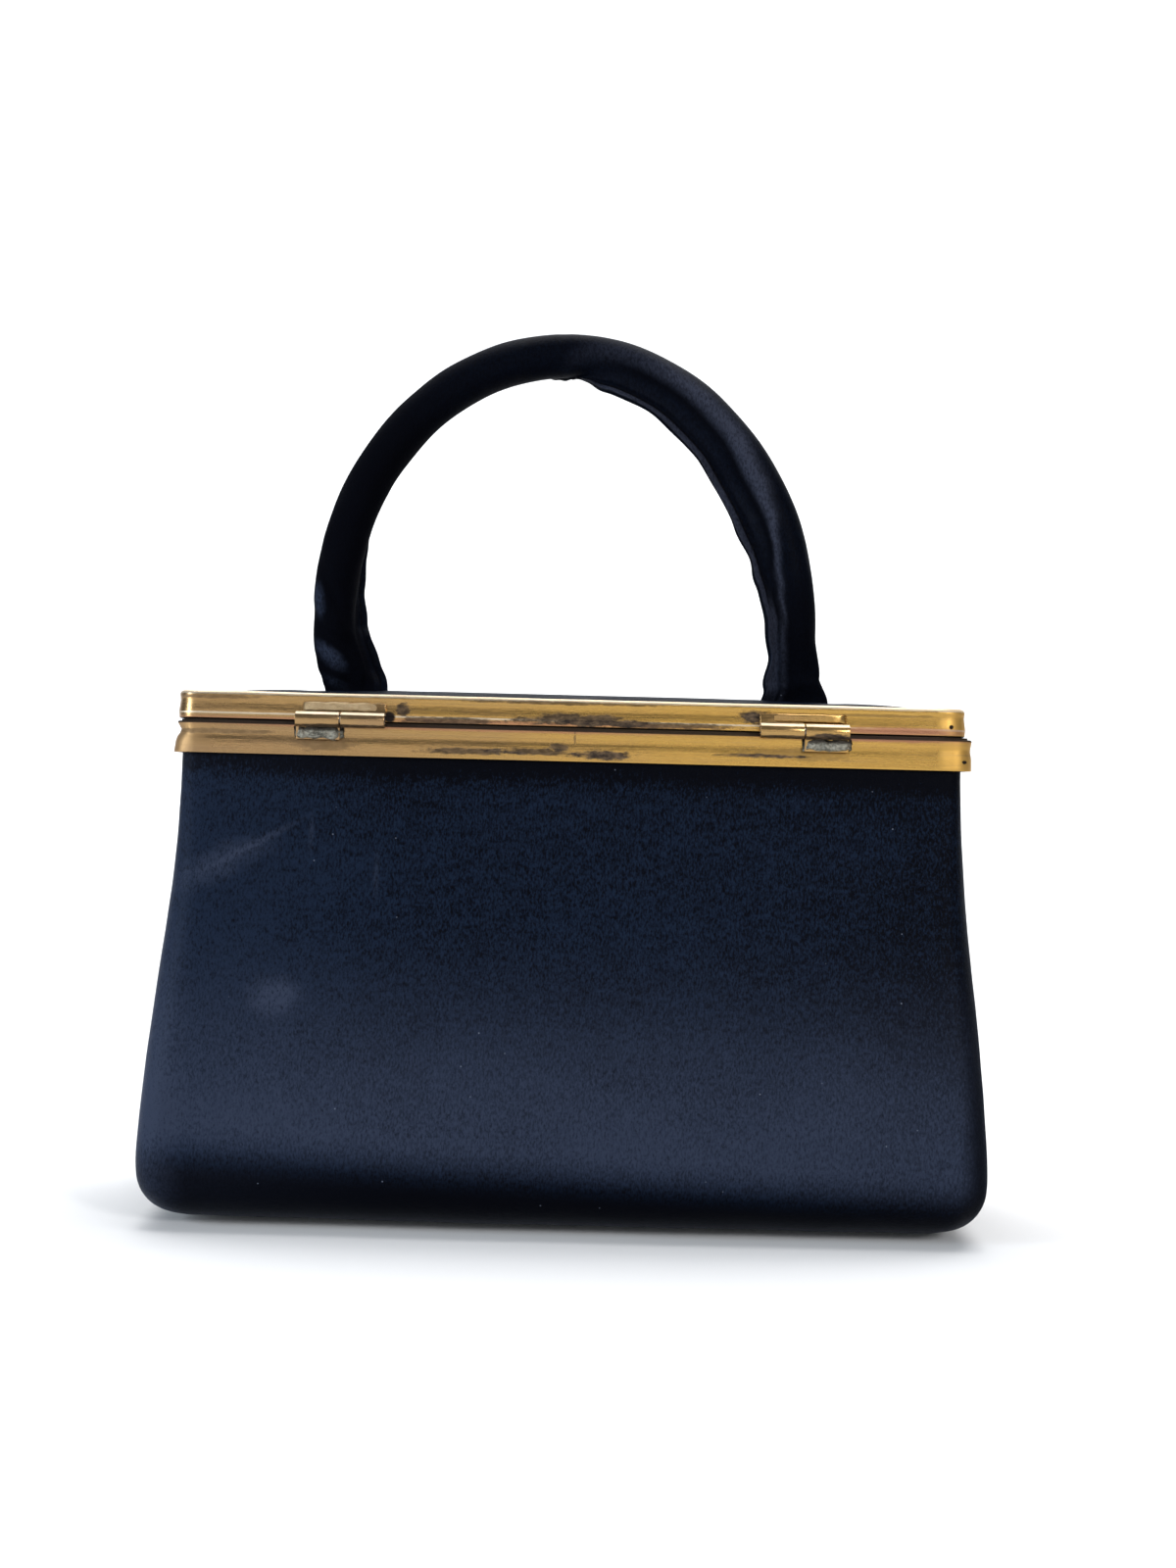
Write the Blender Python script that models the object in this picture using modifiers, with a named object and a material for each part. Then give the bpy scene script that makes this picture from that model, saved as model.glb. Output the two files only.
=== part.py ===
"""Rigid box purse: satin over a board shell, two metal rims, a domed lid and an arched handle.

Metres, +Z up. The origin lies under the middle of the base. The hinged back faces -Y, the clasp
is on the +Y side, and the width runs along X.
"""

import math

import bmesh
import bpy
from mathutils import Vector

# Metal rims: their outer faces, edges and walls
RIM_HALF_WIDTH = 0.0900
RIM_HALF_DEPTH = 0.0270
RIM_CORNER_RADIUS = 0.0050
RIM_EDGE_RADIUS = 0.0012
RIM_OUTER_WALL = 0.0010
RIM_INNER_WALL = 0.0006
RIM_FLANGE = 0.0007
BODY_RIM_HEIGHT = 0.0071
PARTING_GAP = 0.0006

# Covered body below the rims
BODY_HEIGHT = 0.1134
FLARE_TOP_DROP = 0.0060
WIDEST_HALF_WIDTH = 0.0955
WIDEST_HALF_DEPTH = 0.0370
WIDEST_ABOVE_ROLL = 0.0035
BODY_CORNER_RADIUS = 0.0070
ROLL_HEIGHT = 0.0120
ROLL_SIDE_REACH = 0.0090
ROLL_FACE_REACH = 0.0130
FACE_CROWN = 0.0012
# Steps down the flare: share of its drop, share of its growth
FLARE_SHARES = ((0.24, 0.20), (0.52, 0.49), (0.78, 0.81))
# Share of the growth by which the upright corners have their full radius
CORNER_GROWTH_SHARE = 0.25

# Layers and the clearance between any two of them
SATIN_THICKNESS = 0.0006
BOARD_THICKNESS = 0.0018
LINING_THICKNESS = 0.0005
FIT_GAP = 0.0003
SMALLEST_RADIUS = 0.0005
OVERRUN = 0.0010
WELD_DISTANCE = 0.000001

# Base panel, floor stiffener and pocket
BASE_PANEL_THICKNESS = 0.0012
BASE_PANEL_MARGIN = 0.0120
STIFFENER_THICKNESS = 0.0015
POCKET_WIDTH = 0.0900
POCKET_HEIGHT = 0.0480
POCKET_BOTTOM = 0.0400
POCKET_THICKNESS = 0.0006

# Lid, whose rim is as tall as the layers between its two flanges
LID_SETBACK = 0.0010
LID_FLANGE = 0.0006
LID_FLANGE_REACH = 0.0034
LID_BOARD_THICKNESS = 0.0017
LID_CROWN = 0.0027
PADDING_EDGE = 0.0004
# How far the dome's rings come in towards the middle line, and how fast their corners round out
DOME_REACH_SHARE = 0.9
DOME_CORNER_SHARE = 0.25

# Handle: a satin tube with its seam allowance outside, over a cord
HANDLE_FOOT_OFFSET = 0.0543
HANDLE_FOOT_RISE = 0.0045
HANDLE_LEG_HEIGHT = 0.0085
HANDLE_HALF_SPAN = 0.0548
HANDLE_RISE = 0.0680
HANDLE_LEAN = 0.0030
HANDLE_LEAN_HEIGHT = 0.0150
TUBE_RADIUS = 0.0052
TUBE_WALL = 0.0008
SEAM_WIDTH = 0.0048
SEAM_THICKNESS = 0.0012
PINCH_HEIGHT = 0.0130
PINCH_SHARE = 0.45
# Turn of the seam: share of the handle's length from the left foot, share of a right angle
SEAM_TURN_SHARES = ((0.0, 0.15), (0.06, 0.40), (0.12, 0.65), (0.19, 0.90), (0.50, 0.85),
                    (0.56, 0.55), (0.63, 0.48), (0.70, 0.28), (0.76, 0.0), (0.85, -0.20),
                    (0.92, -0.42), (0.96, -0.40), (1.0, -0.15))
NECK_THICKNESS = 0.0012
TAIL_THICKNESS = 0.0009
TAIL_REACH = 0.0090
HANDLE_AXIS_DROP = 0.0010

# Hinges on the back
HINGE_OFFSET = 0.0522
HINGE_WIDTH = 0.0200
KNUCKLE_RADIUS = 0.00175
HINGE_BORE_RADIUS = 0.00105
HINGE_PIN_RADIUS = 0.00075
HINGE_AXIS_ABOVE_RIM = 0.0009
LEAF_THICKNESS = 0.0008
LOWER_LEAF_DROP = 0.0036
UPPER_LEAF_RISE = 0.0039

# Clasp on the front
CLASP_WIDTH = 0.0140
CLASP_PLATE_THICKNESS = 0.0008
CLASP_PLATE_MARGIN = 0.0010
CLASP_KNUCKLE_RADIUS = 0.0014
CLASP_BORE_RADIUS = 0.0009
CLASP_PIN_RADIUS = 0.0006
CLASP_EAR_LENGTH = 0.0022
CLASP_LEAF_THICKNESS = 0.0009
CLASP_TAB_LENGTH = 0.0095
CLASP_LIP_RADIUS = 0.0009
CLASP_STUD_RADIUS = 0.0019

# Facets
SHARP_ANGLE = math.radians(35)
CORNER_STEPS = 5
FACE_STEPS = 6
ROLL_STEPS = 5
EDGE_STEPS = 3
DOME_STEPS = 5
ROD_SIDES = 20
TUBE_SIDES = 13
CORE_SIDES = 10
ARCH_STEPS = 34
LEG_STEPS = 3

# Sizes that follow from the ones above
COVER_FLOOR = BASE_PANEL_THICKNESS + FIT_GAP
COVER_INSET = RIM_OUTER_WALL + FIT_GAP
BOARD_INSET = SATIN_THICKNESS + FIT_GAP
LINING_INSET = BOARD_INSET + BOARD_THICKNESS + FIT_GAP
LAYER_TOP = BODY_HEIGHT - RIM_FLANGE - FIT_GAP
FLARE_TOP = BODY_HEIGHT - BODY_RIM_HEIGHT - FLARE_TOP_DROP
WIDEST_HEIGHT = COVER_FLOOR + ROLL_HEIGHT + WIDEST_ABOVE_ROLL
NECK_HALF_WIDTH = RIM_HALF_WIDTH - COVER_INSET
NECK_HALF_DEPTH = RIM_HALF_DEPTH - COVER_INSET
NECK_CORNER_RADIUS = RIM_CORNER_RADIUS - COVER_INSET
BODY_RIM_WIDTH = COVER_INSET + LINING_INSET + LINING_THICKNESS + FIT_GAP + RIM_INNER_WALL
STIFFENER_BOTTOM = COVER_FLOOR + BOARD_INSET + BOARD_THICKNESS + FIT_GAP
LINING_FLOOR = STIFFENER_BOTTOM + STIFFENER_THICKNESS + FIT_GAP

LID_HALF_WIDTH = RIM_HALF_WIDTH - LID_SETBACK
LID_HALF_DEPTH = RIM_HALF_DEPTH - LID_SETBACK
LID_BOTTOM = BODY_HEIGHT + PARTING_GAP
LID_LINING_BOTTOM = LID_BOTTOM + LID_FLANGE + FIT_GAP
TAIL_BOTTOM = LID_LINING_BOTTOM + LINING_THICKNESS + FIT_GAP
LID_BOARD_BOTTOM = TAIL_BOTTOM + TAIL_THICKNESS + FIT_GAP
LID_COVER_BOTTOM = LID_BOARD_BOTTOM + LID_BOARD_THICKNESS + FIT_GAP
LID_COVER_EDGE = LID_COVER_BOTTOM + SATIN_THICKNESS
LID_TOP = LID_COVER_EDGE + FIT_GAP + LID_FLANGE
LID_INSET = RIM_OUTER_WALL + FIT_GAP
DOME_INSET = LID_FLANGE_REACH + FIT_GAP
DOME_TOP = LID_COVER_EDGE + LID_CROWN

HANDLE_FOOT = DOME_TOP + HANDLE_FOOT_RISE
HANDLE_SPRING = HANDLE_FOOT + HANDLE_LEG_HEIGHT
HANDLE_AXIS = Vector((0, 0, HANDLE_FOOT - HANDLE_AXIS_DROP))
NECK_WIDTH = 2 * TUBE_RADIUS + SEAM_WIDTH
NECK_OFFSET = HANDLE_FOOT_OFFSET - SEAM_WIDTH / 2

HINGE_AXIS = Vector((0, -RIM_HALF_DEPTH - FIT_GAP - KNUCKLE_RADIUS,
                     BODY_HEIGHT + HINGE_AXIS_ABOVE_RIM))
CLASP_PLATE_FRONT = LID_HALF_DEPTH + FIT_GAP + CLASP_PLATE_THICKNESS
CLASP_AXIS = Vector((0, CLASP_PLATE_FRONT + FIT_GAP + CLASP_KNUCKLE_RADIUS,
                     (LID_BOTTOM + LID_TOP) / 2))
CLASP_LEAF_BACK = CLASP_AXIS.y - CLASP_LEAF_THICKNESS / 2
CLASP_TAB_WIDTH = CLASP_WIDTH - 2 * (CLASP_EAR_LENGTH + FIT_GAP)

# Finishes: linear base colour, roughness, metallic
SATIN_FINISH = ("navy_satin", (0.011, 0.016, 0.030), 0.48, 0.0)
LINING_FINISH = ("dark_lining", (0.014, 0.014, 0.020), 0.75, 0.0)
BOARD_FINISH = ("grey_board", (0.235, 0.215, 0.180), 0.90, 0.0)
PADDING_FINISH = ("wadding", (0.720, 0.700, 0.640), 0.95, 0.0)
CORE_FINISH = ("cotton_cord", (0.650, 0.610, 0.520), 0.90, 0.0)
RIM_FINISH = ("gold_tone_rim", (0.450, 0.280, 0.095), 0.32, 1.0)
FITTING_FINISH = ("gold_tone_fitting", (0.500, 0.320, 0.120), 0.28, 1.0)
PIN_FINISH = ("steel_pin", (0.420, 0.400, 0.370), 0.35, 1.0)


def clear_scene():
    for old in list(bpy.data.objects):
        bpy.data.objects.remove(old)


def new_collection(name):
    collection = bpy.data.collections.new(name)
    bpy.context.scene.collection.children.link(collection)
    return collection


def finish_material(finish):
    name, colour, roughness, metallic = finish
    material = bpy.data.materials.new(name)
    material.use_nodes = True
    shader = material.node_tree.nodes["Principled BSDF"]
    shader.inputs["Base Color"].default_value = (*colour, 1)
    shader.inputs["Roughness"].default_value = roughness
    shader.inputs["Metallic"].default_value = metallic
    return material


def add_part(name, bm, finish, place=(0, 0, 0)):
    """Object of the purse, made from a bmesh, with its own material."""
    mesh = bpy.data.meshes.new(name)
    bm.to_mesh(mesh)
    bm.free()
    mesh.materials.append(finish_material(finish))
    mesh.shade_smooth()
    mesh.set_sharp_from_angle(angle=SHARP_ANGLE)
    part = bpy.data.objects.new(name, mesh)
    part.location = place
    PURSE.objects.link(part)
    return part


def make_tool(part):
    """Turns an object into a hidden operand of another object's Boolean."""
    PURSE.objects.unlink(part)
    CUTTERS.objects.link(part)
    part.hide_render = True
    part.display_type = 'WIRE'
    return part


def combine(part, tool, operation):
    modifier = part.modifiers.new(operation.lower(), 'BOOLEAN')
    modifier.operation = operation
    modifier.object = tool


def hang_on(pivot, parts):
    """Parents finished pieces to the empty on their joint's axis, where they stand."""
    for part in parts:
        part.parent = pivot
        part.matrix_parent_inverse = pivot.matrix_world.inverted()


def add_pivot(name, place):
    pivot = bpy.data.objects.new(name, None)
    pivot.location = place
    PURSE.objects.link(pivot)
    bpy.context.view_layer.update()
    return pivot


def add_block(name, low, high, finish):
    bm = bmesh.new()
    bmesh.ops.create_cube(bm, size=1)
    size = [upper - lower for lower, upper in zip(low, high)]
    bmesh.ops.scale(bm, vec=size, verts=bm.verts)
    return add_part(name, bm, finish, [(lower + upper) / 2 for lower, upper in zip(low, high)])


def round_edges(part, width):
    modifier = part.modifiers.new("edges", 'BEVEL')
    modifier.width = width
    modifier.segments = 2
    modifier.limit_method = 'ANGLE'


def add_rod(name, centre, radius, length, finish, turn=(0, math.pi / 2, 0)):
    """Round rod, lying along X unless it is turned another way."""
    bm = bmesh.new()
    bmesh.ops.create_cone(bm, cap_ends=True, segments=ROD_SIDES, radius1=radius,
                          radius2=radius, depth=length)
    part = add_part(name, bm, finish, centre)
    part.rotation_euler = turn
    return part


def rounded_outline(half_width, half_depth, radius, crown=0.0, face_steps=1):
    """Anticlockwise points of a rounded rectangle whose two long faces swell by the crown."""
    outline = []
    for quarter, (side_x, side_y) in enumerate(((1, 1), (-1, 1), (-1, -1), (1, -1))):
        corner = Vector((side_x * (half_width - radius), side_y * (half_depth - radius)))
        for step in range(CORNER_STEPS + 1):
            angle = (quarter + step / CORNER_STEPS) * math.pi / 2
            outline.append(corner + radius * Vector((math.cos(angle), math.sin(angle))))
        if quarter % 2 == 0:
            for step in range(1, face_steps):
                share = step / face_steps
                across = side_x * (half_width - radius) * (1 - 2 * share)
                swell = crown * 4 * share * (1 - share)
                outline.append(Vector((across, side_y * (half_depth + swell))))
    return outline


def loft(rings, closed_section=False, end_heights=()):
    """Skin through rings of (outline, height): a grid laid over them and welded along its seam.
    The section may close on itself, and open rings at the end heights get a flat face."""
    rows = rings + rings[:1] if closed_section else rings
    around = len(rings[0][0])
    bm = bmesh.new()
    bmesh.ops.create_grid(bm, x_segments=around, y_segments=len(rows) - 1)
    bm.verts.ensure_lookup_table()
    for index, vert in enumerate(bm.verts):
        row, column = divmod(index, around + 1)
        outline, height = rows[row]
        vert.co = (*outline[column % around], height)
    bmesh.ops.remove_doubles(bm, verts=bm.verts, dist=WELD_DISTANCE)
    for height in end_heights:
        rim = [edge for edge in bm.edges if edge.is_boundary
               and all(abs(vert.co.z - height) < WELD_DISTANCE for vert in edge.verts)]
        bmesh.ops.holes_fill(bm, edges=rim)
    bmesh.ops.recalc_face_normals(bm, faces=bm.faces)
    return bm


def thicken(part, wall):
    modifier = part.modifiers.new("wall", 'SOLIDIFY')
    modifier.thickness = wall
    modifier.offset = -1
    modifier.use_even_offset = True


def blend(start, end, share):
    return start + (end - start) * share


def body_half_size(share, axis):
    """Half width (axis 0) or half depth (axis 1) of the covered body, part way down the flare."""
    neck = (NECK_HALF_WIDTH, NECK_HALF_DEPTH)[axis]
    widest = (WIDEST_HALF_WIDTH, WIDEST_HALF_DEPTH)[axis]
    return blend(neck, widest, share)


def body_rings(inset, floor, wall):
    """Rings of one layer of the body, from its top edge to its floor, the inset inside the cover."""
    def ring(growth, height, side_in=0.0, face_in=0.0):
        corner_share = min(1, growth / CORNER_GROWTH_SHARE)
        radius = blend(NECK_CORNER_RADIUS, BODY_CORNER_RADIUS, corner_share) - inset
        outline = rounded_outline(body_half_size(growth, 0) - inset - side_in,
                                  body_half_size(growth, 1) - inset - face_in,
                                  max(radius, wall + SMALLEST_RADIUS),
                                  FACE_CROWN * growth, FACE_STEPS)
        return outline, height

    rings = [ring(0, LAYER_TOP), ring(0, FLARE_TOP)]
    for drop_share, growth_share in FLARE_SHARES:
        rings.append(ring(growth_share, blend(FLARE_TOP, WIDEST_HEIGHT, drop_share)))
    rings.append(ring(1, WIDEST_HEIGHT))
    roll_centre = COVER_FLOOR + ROLL_HEIGHT
    for step in range(ROLL_STEPS + 1):
        angle = step / ROLL_STEPS * math.pi / 2
        inward = 1 - math.cos(angle)
        rings.append(ring(1, blend(roll_centre, floor, math.sin(angle)),
                          (ROLL_SIDE_REACH - inset) * inward, (ROLL_FACE_REACH - inset) * inward))
    return rings


def add_body_layer(name, inset, floor, wall, finish):
    part = add_part(name, loft(body_rings(inset, floor, wall), end_heights=[floor]), finish)
    thicken(part, wall)
    return part


def make_body_shells():
    """Satin cover, board shell and lining, one inside the other, all open at the mouth."""
    add_body_layer("body_cover", 0, COVER_FLOOR, SATIN_THICKNESS, SATIN_FINISH)
    add_body_layer("body_board", BOARD_INSET, COVER_FLOOR + BOARD_INSET, BOARD_THICKNESS,
                   BOARD_FINISH)
    add_body_layer("body_lining", LINING_INSET, LINING_FLOOR, LINING_THICKNESS, LINING_FINISH)


def add_sheet(name, outline, bottom, thickness, finish):
    top = bottom + thickness
    return add_part(name, loft([(outline, bottom), (outline, top)], end_heights=[bottom, top]),
                    finish)


def make_floor_panels():
    """Covered panel that the purse stands on, and the stiffener under the lining."""
    flat_width = WIDEST_HALF_WIDTH - ROLL_SIDE_REACH
    flat_depth = WIDEST_HALF_DEPTH - ROLL_FACE_REACH
    base = rounded_outline(flat_width - BASE_PANEL_MARGIN, flat_depth - BASE_PANEL_MARGIN / 2,
                           BODY_CORNER_RADIUS)
    add_sheet("base_panel", base, 0, BASE_PANEL_THICKNESS, SATIN_FINISH)
    floor = rounded_outline(flat_width, flat_depth, BODY_CORNER_RADIUS)
    add_sheet("base_stiffener", floor, STIFFENER_BOTTOM, STIFFENER_THICKNESS, BOARD_FINISH)


def lining_face(height):
    """Y of the lining's inner face on the clasp side, without its crown."""
    drop = min(max((FLARE_TOP - height) / (FLARE_TOP - WIDEST_HEIGHT), 0), 1)
    steps = [(0, 0), *FLARE_SHARES, (1, 1)]
    for (drop_above, growth_above), (drop_below, growth_below) in zip(steps, steps[1:]):
        if drop_above <= drop <= drop_below:
            share = (drop - drop_above) / (drop_below - drop_above)
            growth = blend(growth_above, growth_below, share)
    return body_half_size(growth, 1) - LINING_INSET - LINING_THICKNESS


def make_lining_pocket():
    """Flat slip pocket sewn to the lining inside the front, leaning with the wall."""
    bm = bmesh.new()
    bmesh.ops.create_cube(bm, size=1)
    for vert in bm.verts:
        height = POCKET_BOTTOM + (vert.co.z > 0) * POCKET_HEIGHT
        depth = lining_face(height) - 2 * FIT_GAP - (vert.co.y < 0) * POCKET_THICKNESS
        vert.co = (vert.co.x * POCKET_WIDTH, depth, height)
    add_part("lining_pocket", bm, LINING_FINISH)


def swept_rim(name, section, half_width, half_depth, finish):
    """Metal rim: a closed section of (inset, height) points carried round the mouth."""
    rings = []
    for inset, height in section:
        radius = max(RIM_CORNER_RADIUS - inset, SMALLEST_RADIUS)
        rings.append((rounded_outline(half_width - inset, half_depth - inset, radius), height))
    return add_part(name, loft(rings, closed_section=True), finish)


def rounded_edge(height, side):
    """Points of a rim's outer edge as it turns from the wall to the top (side 1) or bottom (-1)."""
    points = []
    for step in range(EDGE_STEPS + 1):
        angle = step / EDGE_STEPS * math.pi / 2
        points.append((RIM_EDGE_RADIUS * (1 - math.cos(angle)),
                       height - side * RIM_EDGE_RADIUS * (1 - math.sin(angle))))
    return points


def make_body_rim():
    """Downturned channel that grips the edges of the board, its cover and its lining."""
    bottom = BODY_HEIGHT - BODY_RIM_HEIGHT
    under_flange = BODY_HEIGHT - RIM_FLANGE
    inner_face = BODY_RIM_WIDTH - RIM_INNER_WALL
    section = [(0, bottom), *rounded_edge(BODY_HEIGHT, 1),
               (BODY_RIM_WIDTH, BODY_HEIGHT), (BODY_RIM_WIDTH, bottom), (inner_face, bottom),
               (inner_face, under_flange), (RIM_OUTER_WALL, under_flange),
               (RIM_OUTER_WALL, bottom)]
    swept_rim("body_rim", section, RIM_HALF_WIDTH, RIM_HALF_DEPTH, RIM_FINISH)


def make_lid_rim():
    """Inward channel whose two flanges hold the lid's layers together."""
    section = [*rounded_edge(LID_TOP, 1), (LID_FLANGE_REACH, LID_TOP),
               (LID_FLANGE_REACH, LID_TOP - LID_FLANGE), (RIM_OUTER_WALL, LID_TOP - LID_FLANGE),
               (RIM_OUTER_WALL, LID_BOTTOM + LID_FLANGE),
               (LID_FLANGE_REACH, LID_BOTTOM + LID_FLANGE), (LID_FLANGE_REACH, LID_BOTTOM),
               *reversed(rounded_edge(LID_BOTTOM, -1))]
    return swept_rim("lid_rim", section, LID_HALF_WIDTH, LID_HALF_DEPTH, RIM_FINISH)


def dome_rings(drop=0.0, lowest=0.0):
    """Rings of the lid's dome from the rim inward, all lowered by the drop. Rings below the
    lowest height are left out."""
    reach = (LID_HALF_DEPTH - DOME_INSET) * DOME_REACH_SHARE
    rings = []
    for step in range(DOME_STEPS + 1):
        share = step / DOME_STEPS
        inset = DOME_INSET + reach * share ** 2
        half_depth = LID_HALF_DEPTH - inset
        height = LID_COVER_EDGE + LID_CROWN * math.sin(share * math.pi / 2) - drop
        radius = min(RIM_CORNER_RADIUS + inset * DOME_CORNER_SHARE,
                     half_depth * DOME_REACH_SHARE)
        if height > lowest:
            rings.append((rounded_outline(LID_HALF_WIDTH - inset, half_depth, radius), height))
    return rings


def lid_outline():
    radius = RIM_CORNER_RADIUS - LID_INSET
    return rounded_outline(LID_HALF_WIDTH - LID_INSET, LID_HALF_DEPTH - LID_INSET, radius)


def handle_slots():
    """Two hidden blocks that cut the handle's slots through the lid's cover, padding and board."""
    slots = []
    for side in (-1, 1):
        low = (side * NECK_OFFSET - NECK_WIDTH / 2 - FIT_GAP, -NECK_THICKNESS / 2 - FIT_GAP,
               LID_BOARD_BOTTOM - OVERRUN)
        high = (side * NECK_OFFSET + NECK_WIDTH / 2 + FIT_GAP, NECK_THICKNESS / 2 + FIT_GAP,
                DOME_TOP + OVERRUN)
        slots.append(make_tool(add_block("handle_slot", low, high, BOARD_FINISH)))
    return slots


def make_lid_panels():
    """Domed satin cover over padding and a board, with a lining underneath."""
    cover = add_part("lid_cover", loft([(lid_outline(), LID_COVER_EDGE), *dome_rings()],
                                       end_heights=[DOME_TOP]), SATIN_FINISH)
    thicken(cover, SATIN_THICKNESS)

    drop = SATIN_THICKNESS + FIT_GAP
    rings = dome_rings(drop, LID_COVER_BOTTOM + PADDING_EDGE)
    padding = add_part("lid_padding", loft([(rings[0][0], LID_COVER_BOTTOM), *rings],
                                           end_heights=[LID_COVER_BOTTOM, DOME_TOP - drop]),
                       PADDING_FINISH)

    board = add_sheet("lid_board", lid_outline(), LID_BOARD_BOTTOM, LID_BOARD_THICKNESS,
                      BOARD_FINISH)
    for slot in handle_slots():
        for part in (cover, padding, board):
            combine(part, slot, 'DIFFERENCE')
    lining = add_sheet("lid_lining", lid_outline(), LID_LINING_BOTTOM, LINING_THICKNESS,
                       LINING_FINISH)
    return [cover, padding, board, lining]


def add_leaf(name, side, outer, plate_low, plate_high, web=None):
    """One hinge leaf: a soldered plate joined to its half of the bored knuckle."""
    half = HINGE_WIDTH / 2 - FIT_GAP / 2
    centre = side * (HINGE_OFFSET + (1 if outer else -1) * (half + FIT_GAP) / 2)
    left, right = centre - half / 2, centre + half / 2
    plate = add_block(name, (left, plate_low[0], plate_low[1]),
                      (right, plate_high[0], plate_high[1]), FITTING_FINISH)
    place = Vector((centre, HINGE_AXIS.y, HINGE_AXIS.z))
    knuckle = make_tool(add_rod(name + "_knuckle", place, KNUCKLE_RADIUS, half, FITTING_FINISH))
    bore = make_tool(add_rod(name + "_bore", place, HINGE_BORE_RADIUS, half + 2 * OVERRUN,
                             FITTING_FINISH))
    if web:
        low, high = web
        combine(plate, make_tool(add_block(name + "_web", (left, *low), (right, *high),
                                           FITTING_FINISH)), 'UNION')
    combine(plate, knuckle, 'UNION')
    combine(plate, bore, 'DIFFERENCE')
    return plate


def make_hinges():
    """Two soldered hinges. The outer half of each belongs to the body, the inner half to the lid."""
    lid_parts = []
    body_face = -RIM_HALF_DEPTH - FIT_GAP
    lid_face = -LID_HALF_DEPTH - FIT_GAP
    for side, place in ((-1, "left"), (1, "right")):
        add_leaf("hinge_lower_leaf_" + place, side, True,
                 (body_face - LEAF_THICKNESS, BODY_HEIGHT - LOWER_LEAF_DROP),
                 (body_face, BODY_HEIGHT))
        upper_top = HINGE_AXIS.z + KNUCKLE_RADIUS
        web_bottom = upper_top - LEAF_THICKNESS
        lid_parts.append(add_leaf("hinge_upper_leaf_" + place, side, False,
                                  (lid_face - LEAF_THICKNESS, web_bottom),
                                  (lid_face, HINGE_AXIS.z + UPPER_LEAF_RISE),
                                  ((HINGE_AXIS.y, web_bottom),
                                   (lid_face - LEAF_THICKNESS / 2, upper_top))))
        add_rod("hinge_pin_" + place, (side * HINGE_OFFSET, HINGE_AXIS.y, HINGE_AXIS.z),
                HINGE_PIN_RADIUS, HINGE_WIDTH, PIN_FINISH)
    return lid_parts


def make_clasp_plate():
    """Plate on the lid's front with an ear at each end that holds the pin."""
    plate = add_block("clasp_plate",
                      (-CLASP_WIDTH / 2, LID_HALF_DEPTH + FIT_GAP, LID_BOTTOM + CLASP_PLATE_MARGIN),
                      (CLASP_WIDTH / 2, CLASP_PLATE_FRONT, LID_TOP - CLASP_PLATE_MARGIN),
                      FITTING_FINISH)
    for side in (-1, 1):
        centre = side * (CLASP_WIDTH - CLASP_EAR_LENGTH) / 2
        low = (centre - CLASP_EAR_LENGTH / 2, CLASP_PLATE_FRONT - CLASP_PLATE_THICKNESS / 2,
               CLASP_AXIS.z - CLASP_KNUCKLE_RADIUS)
        high = (centre + CLASP_EAR_LENGTH / 2, CLASP_AXIS.y, CLASP_AXIS.z + CLASP_KNUCKLE_RADIUS)
        combine(plate, make_tool(add_block("clasp_ear", low, high, FITTING_FINISH)), 'UNION')
        place = (centre, CLASP_AXIS.y, CLASP_AXIS.z)
        combine(plate, make_tool(add_rod("clasp_ear_round", place, CLASP_KNUCKLE_RADIUS,
                                         CLASP_EAR_LENGTH, FITTING_FINISH)), 'UNION')
    combine(plate, clasp_bore(), 'DIFFERENCE')
    return plate


def clasp_bore():
    return make_tool(add_rod("clasp_bore", CLASP_AXIS, CLASP_BORE_RADIUS,
                             CLASP_WIDTH + 2 * OVERRUN, FITTING_FINISH))


def make_clasp_tab():
    """Flip tab: a knuckle, a leaf that hangs over the parting line, and a lip for the finger."""
    half = CLASP_TAB_WIDTH / 2
    bottom = CLASP_AXIS.z - CLASP_TAB_LENGTH
    tab = add_block("clasp_tab", (-half, CLASP_LEAF_BACK, bottom),
                    (half, CLASP_LEAF_BACK + CLASP_LEAF_THICKNESS, CLASP_AXIS.z), FITTING_FINISH)
    combine(tab, make_tool(add_rod("clasp_knuckle", CLASP_AXIS, CLASP_KNUCKLE_RADIUS,
                                   CLASP_TAB_WIDTH, FITTING_FINISH)), 'UNION')
    lip = (0, CLASP_LEAF_BACK + CLASP_LIP_RADIUS, bottom)
    combine(tab, make_tool(add_rod("clasp_lip", lip, CLASP_LIP_RADIUS, CLASP_TAB_WIDTH,
                                   FITTING_FINISH)), 'UNION')
    combine(tab, clasp_bore(), 'DIFFERENCE')
    return tab


def make_clasp_stud():
    """Low stud on the body rim that the tab closes over."""
    back = RIM_HALF_DEPTH + FIT_GAP
    front = CLASP_LEAF_BACK - FIT_GAP
    stud = add_rod("clasp_stud", (0, (back + front) / 2, BODY_HEIGHT - BODY_RIM_HEIGHT / 2),
                   CLASP_STUD_RADIUS, front - back, FITTING_FINISH, turn=(math.pi / 2, 0, 0))
    round_edges(stud, (front - back) / 3)


def make_clasp():
    make_clasp_stud()
    pin = add_rod("clasp_pin", CLASP_AXIS, CLASP_PIN_RADIUS, CLASP_WIDTH, PIN_FINISH)
    return [make_clasp_plate(), pin], make_clasp_tab()


def ease_in(rise, full_rise):
    """Smooth step from 0, at no rise, to 1, at the full rise."""
    share = min(max(rise / full_rise, 0), 1)
    return share * share * (3 - 2 * share)


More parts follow.
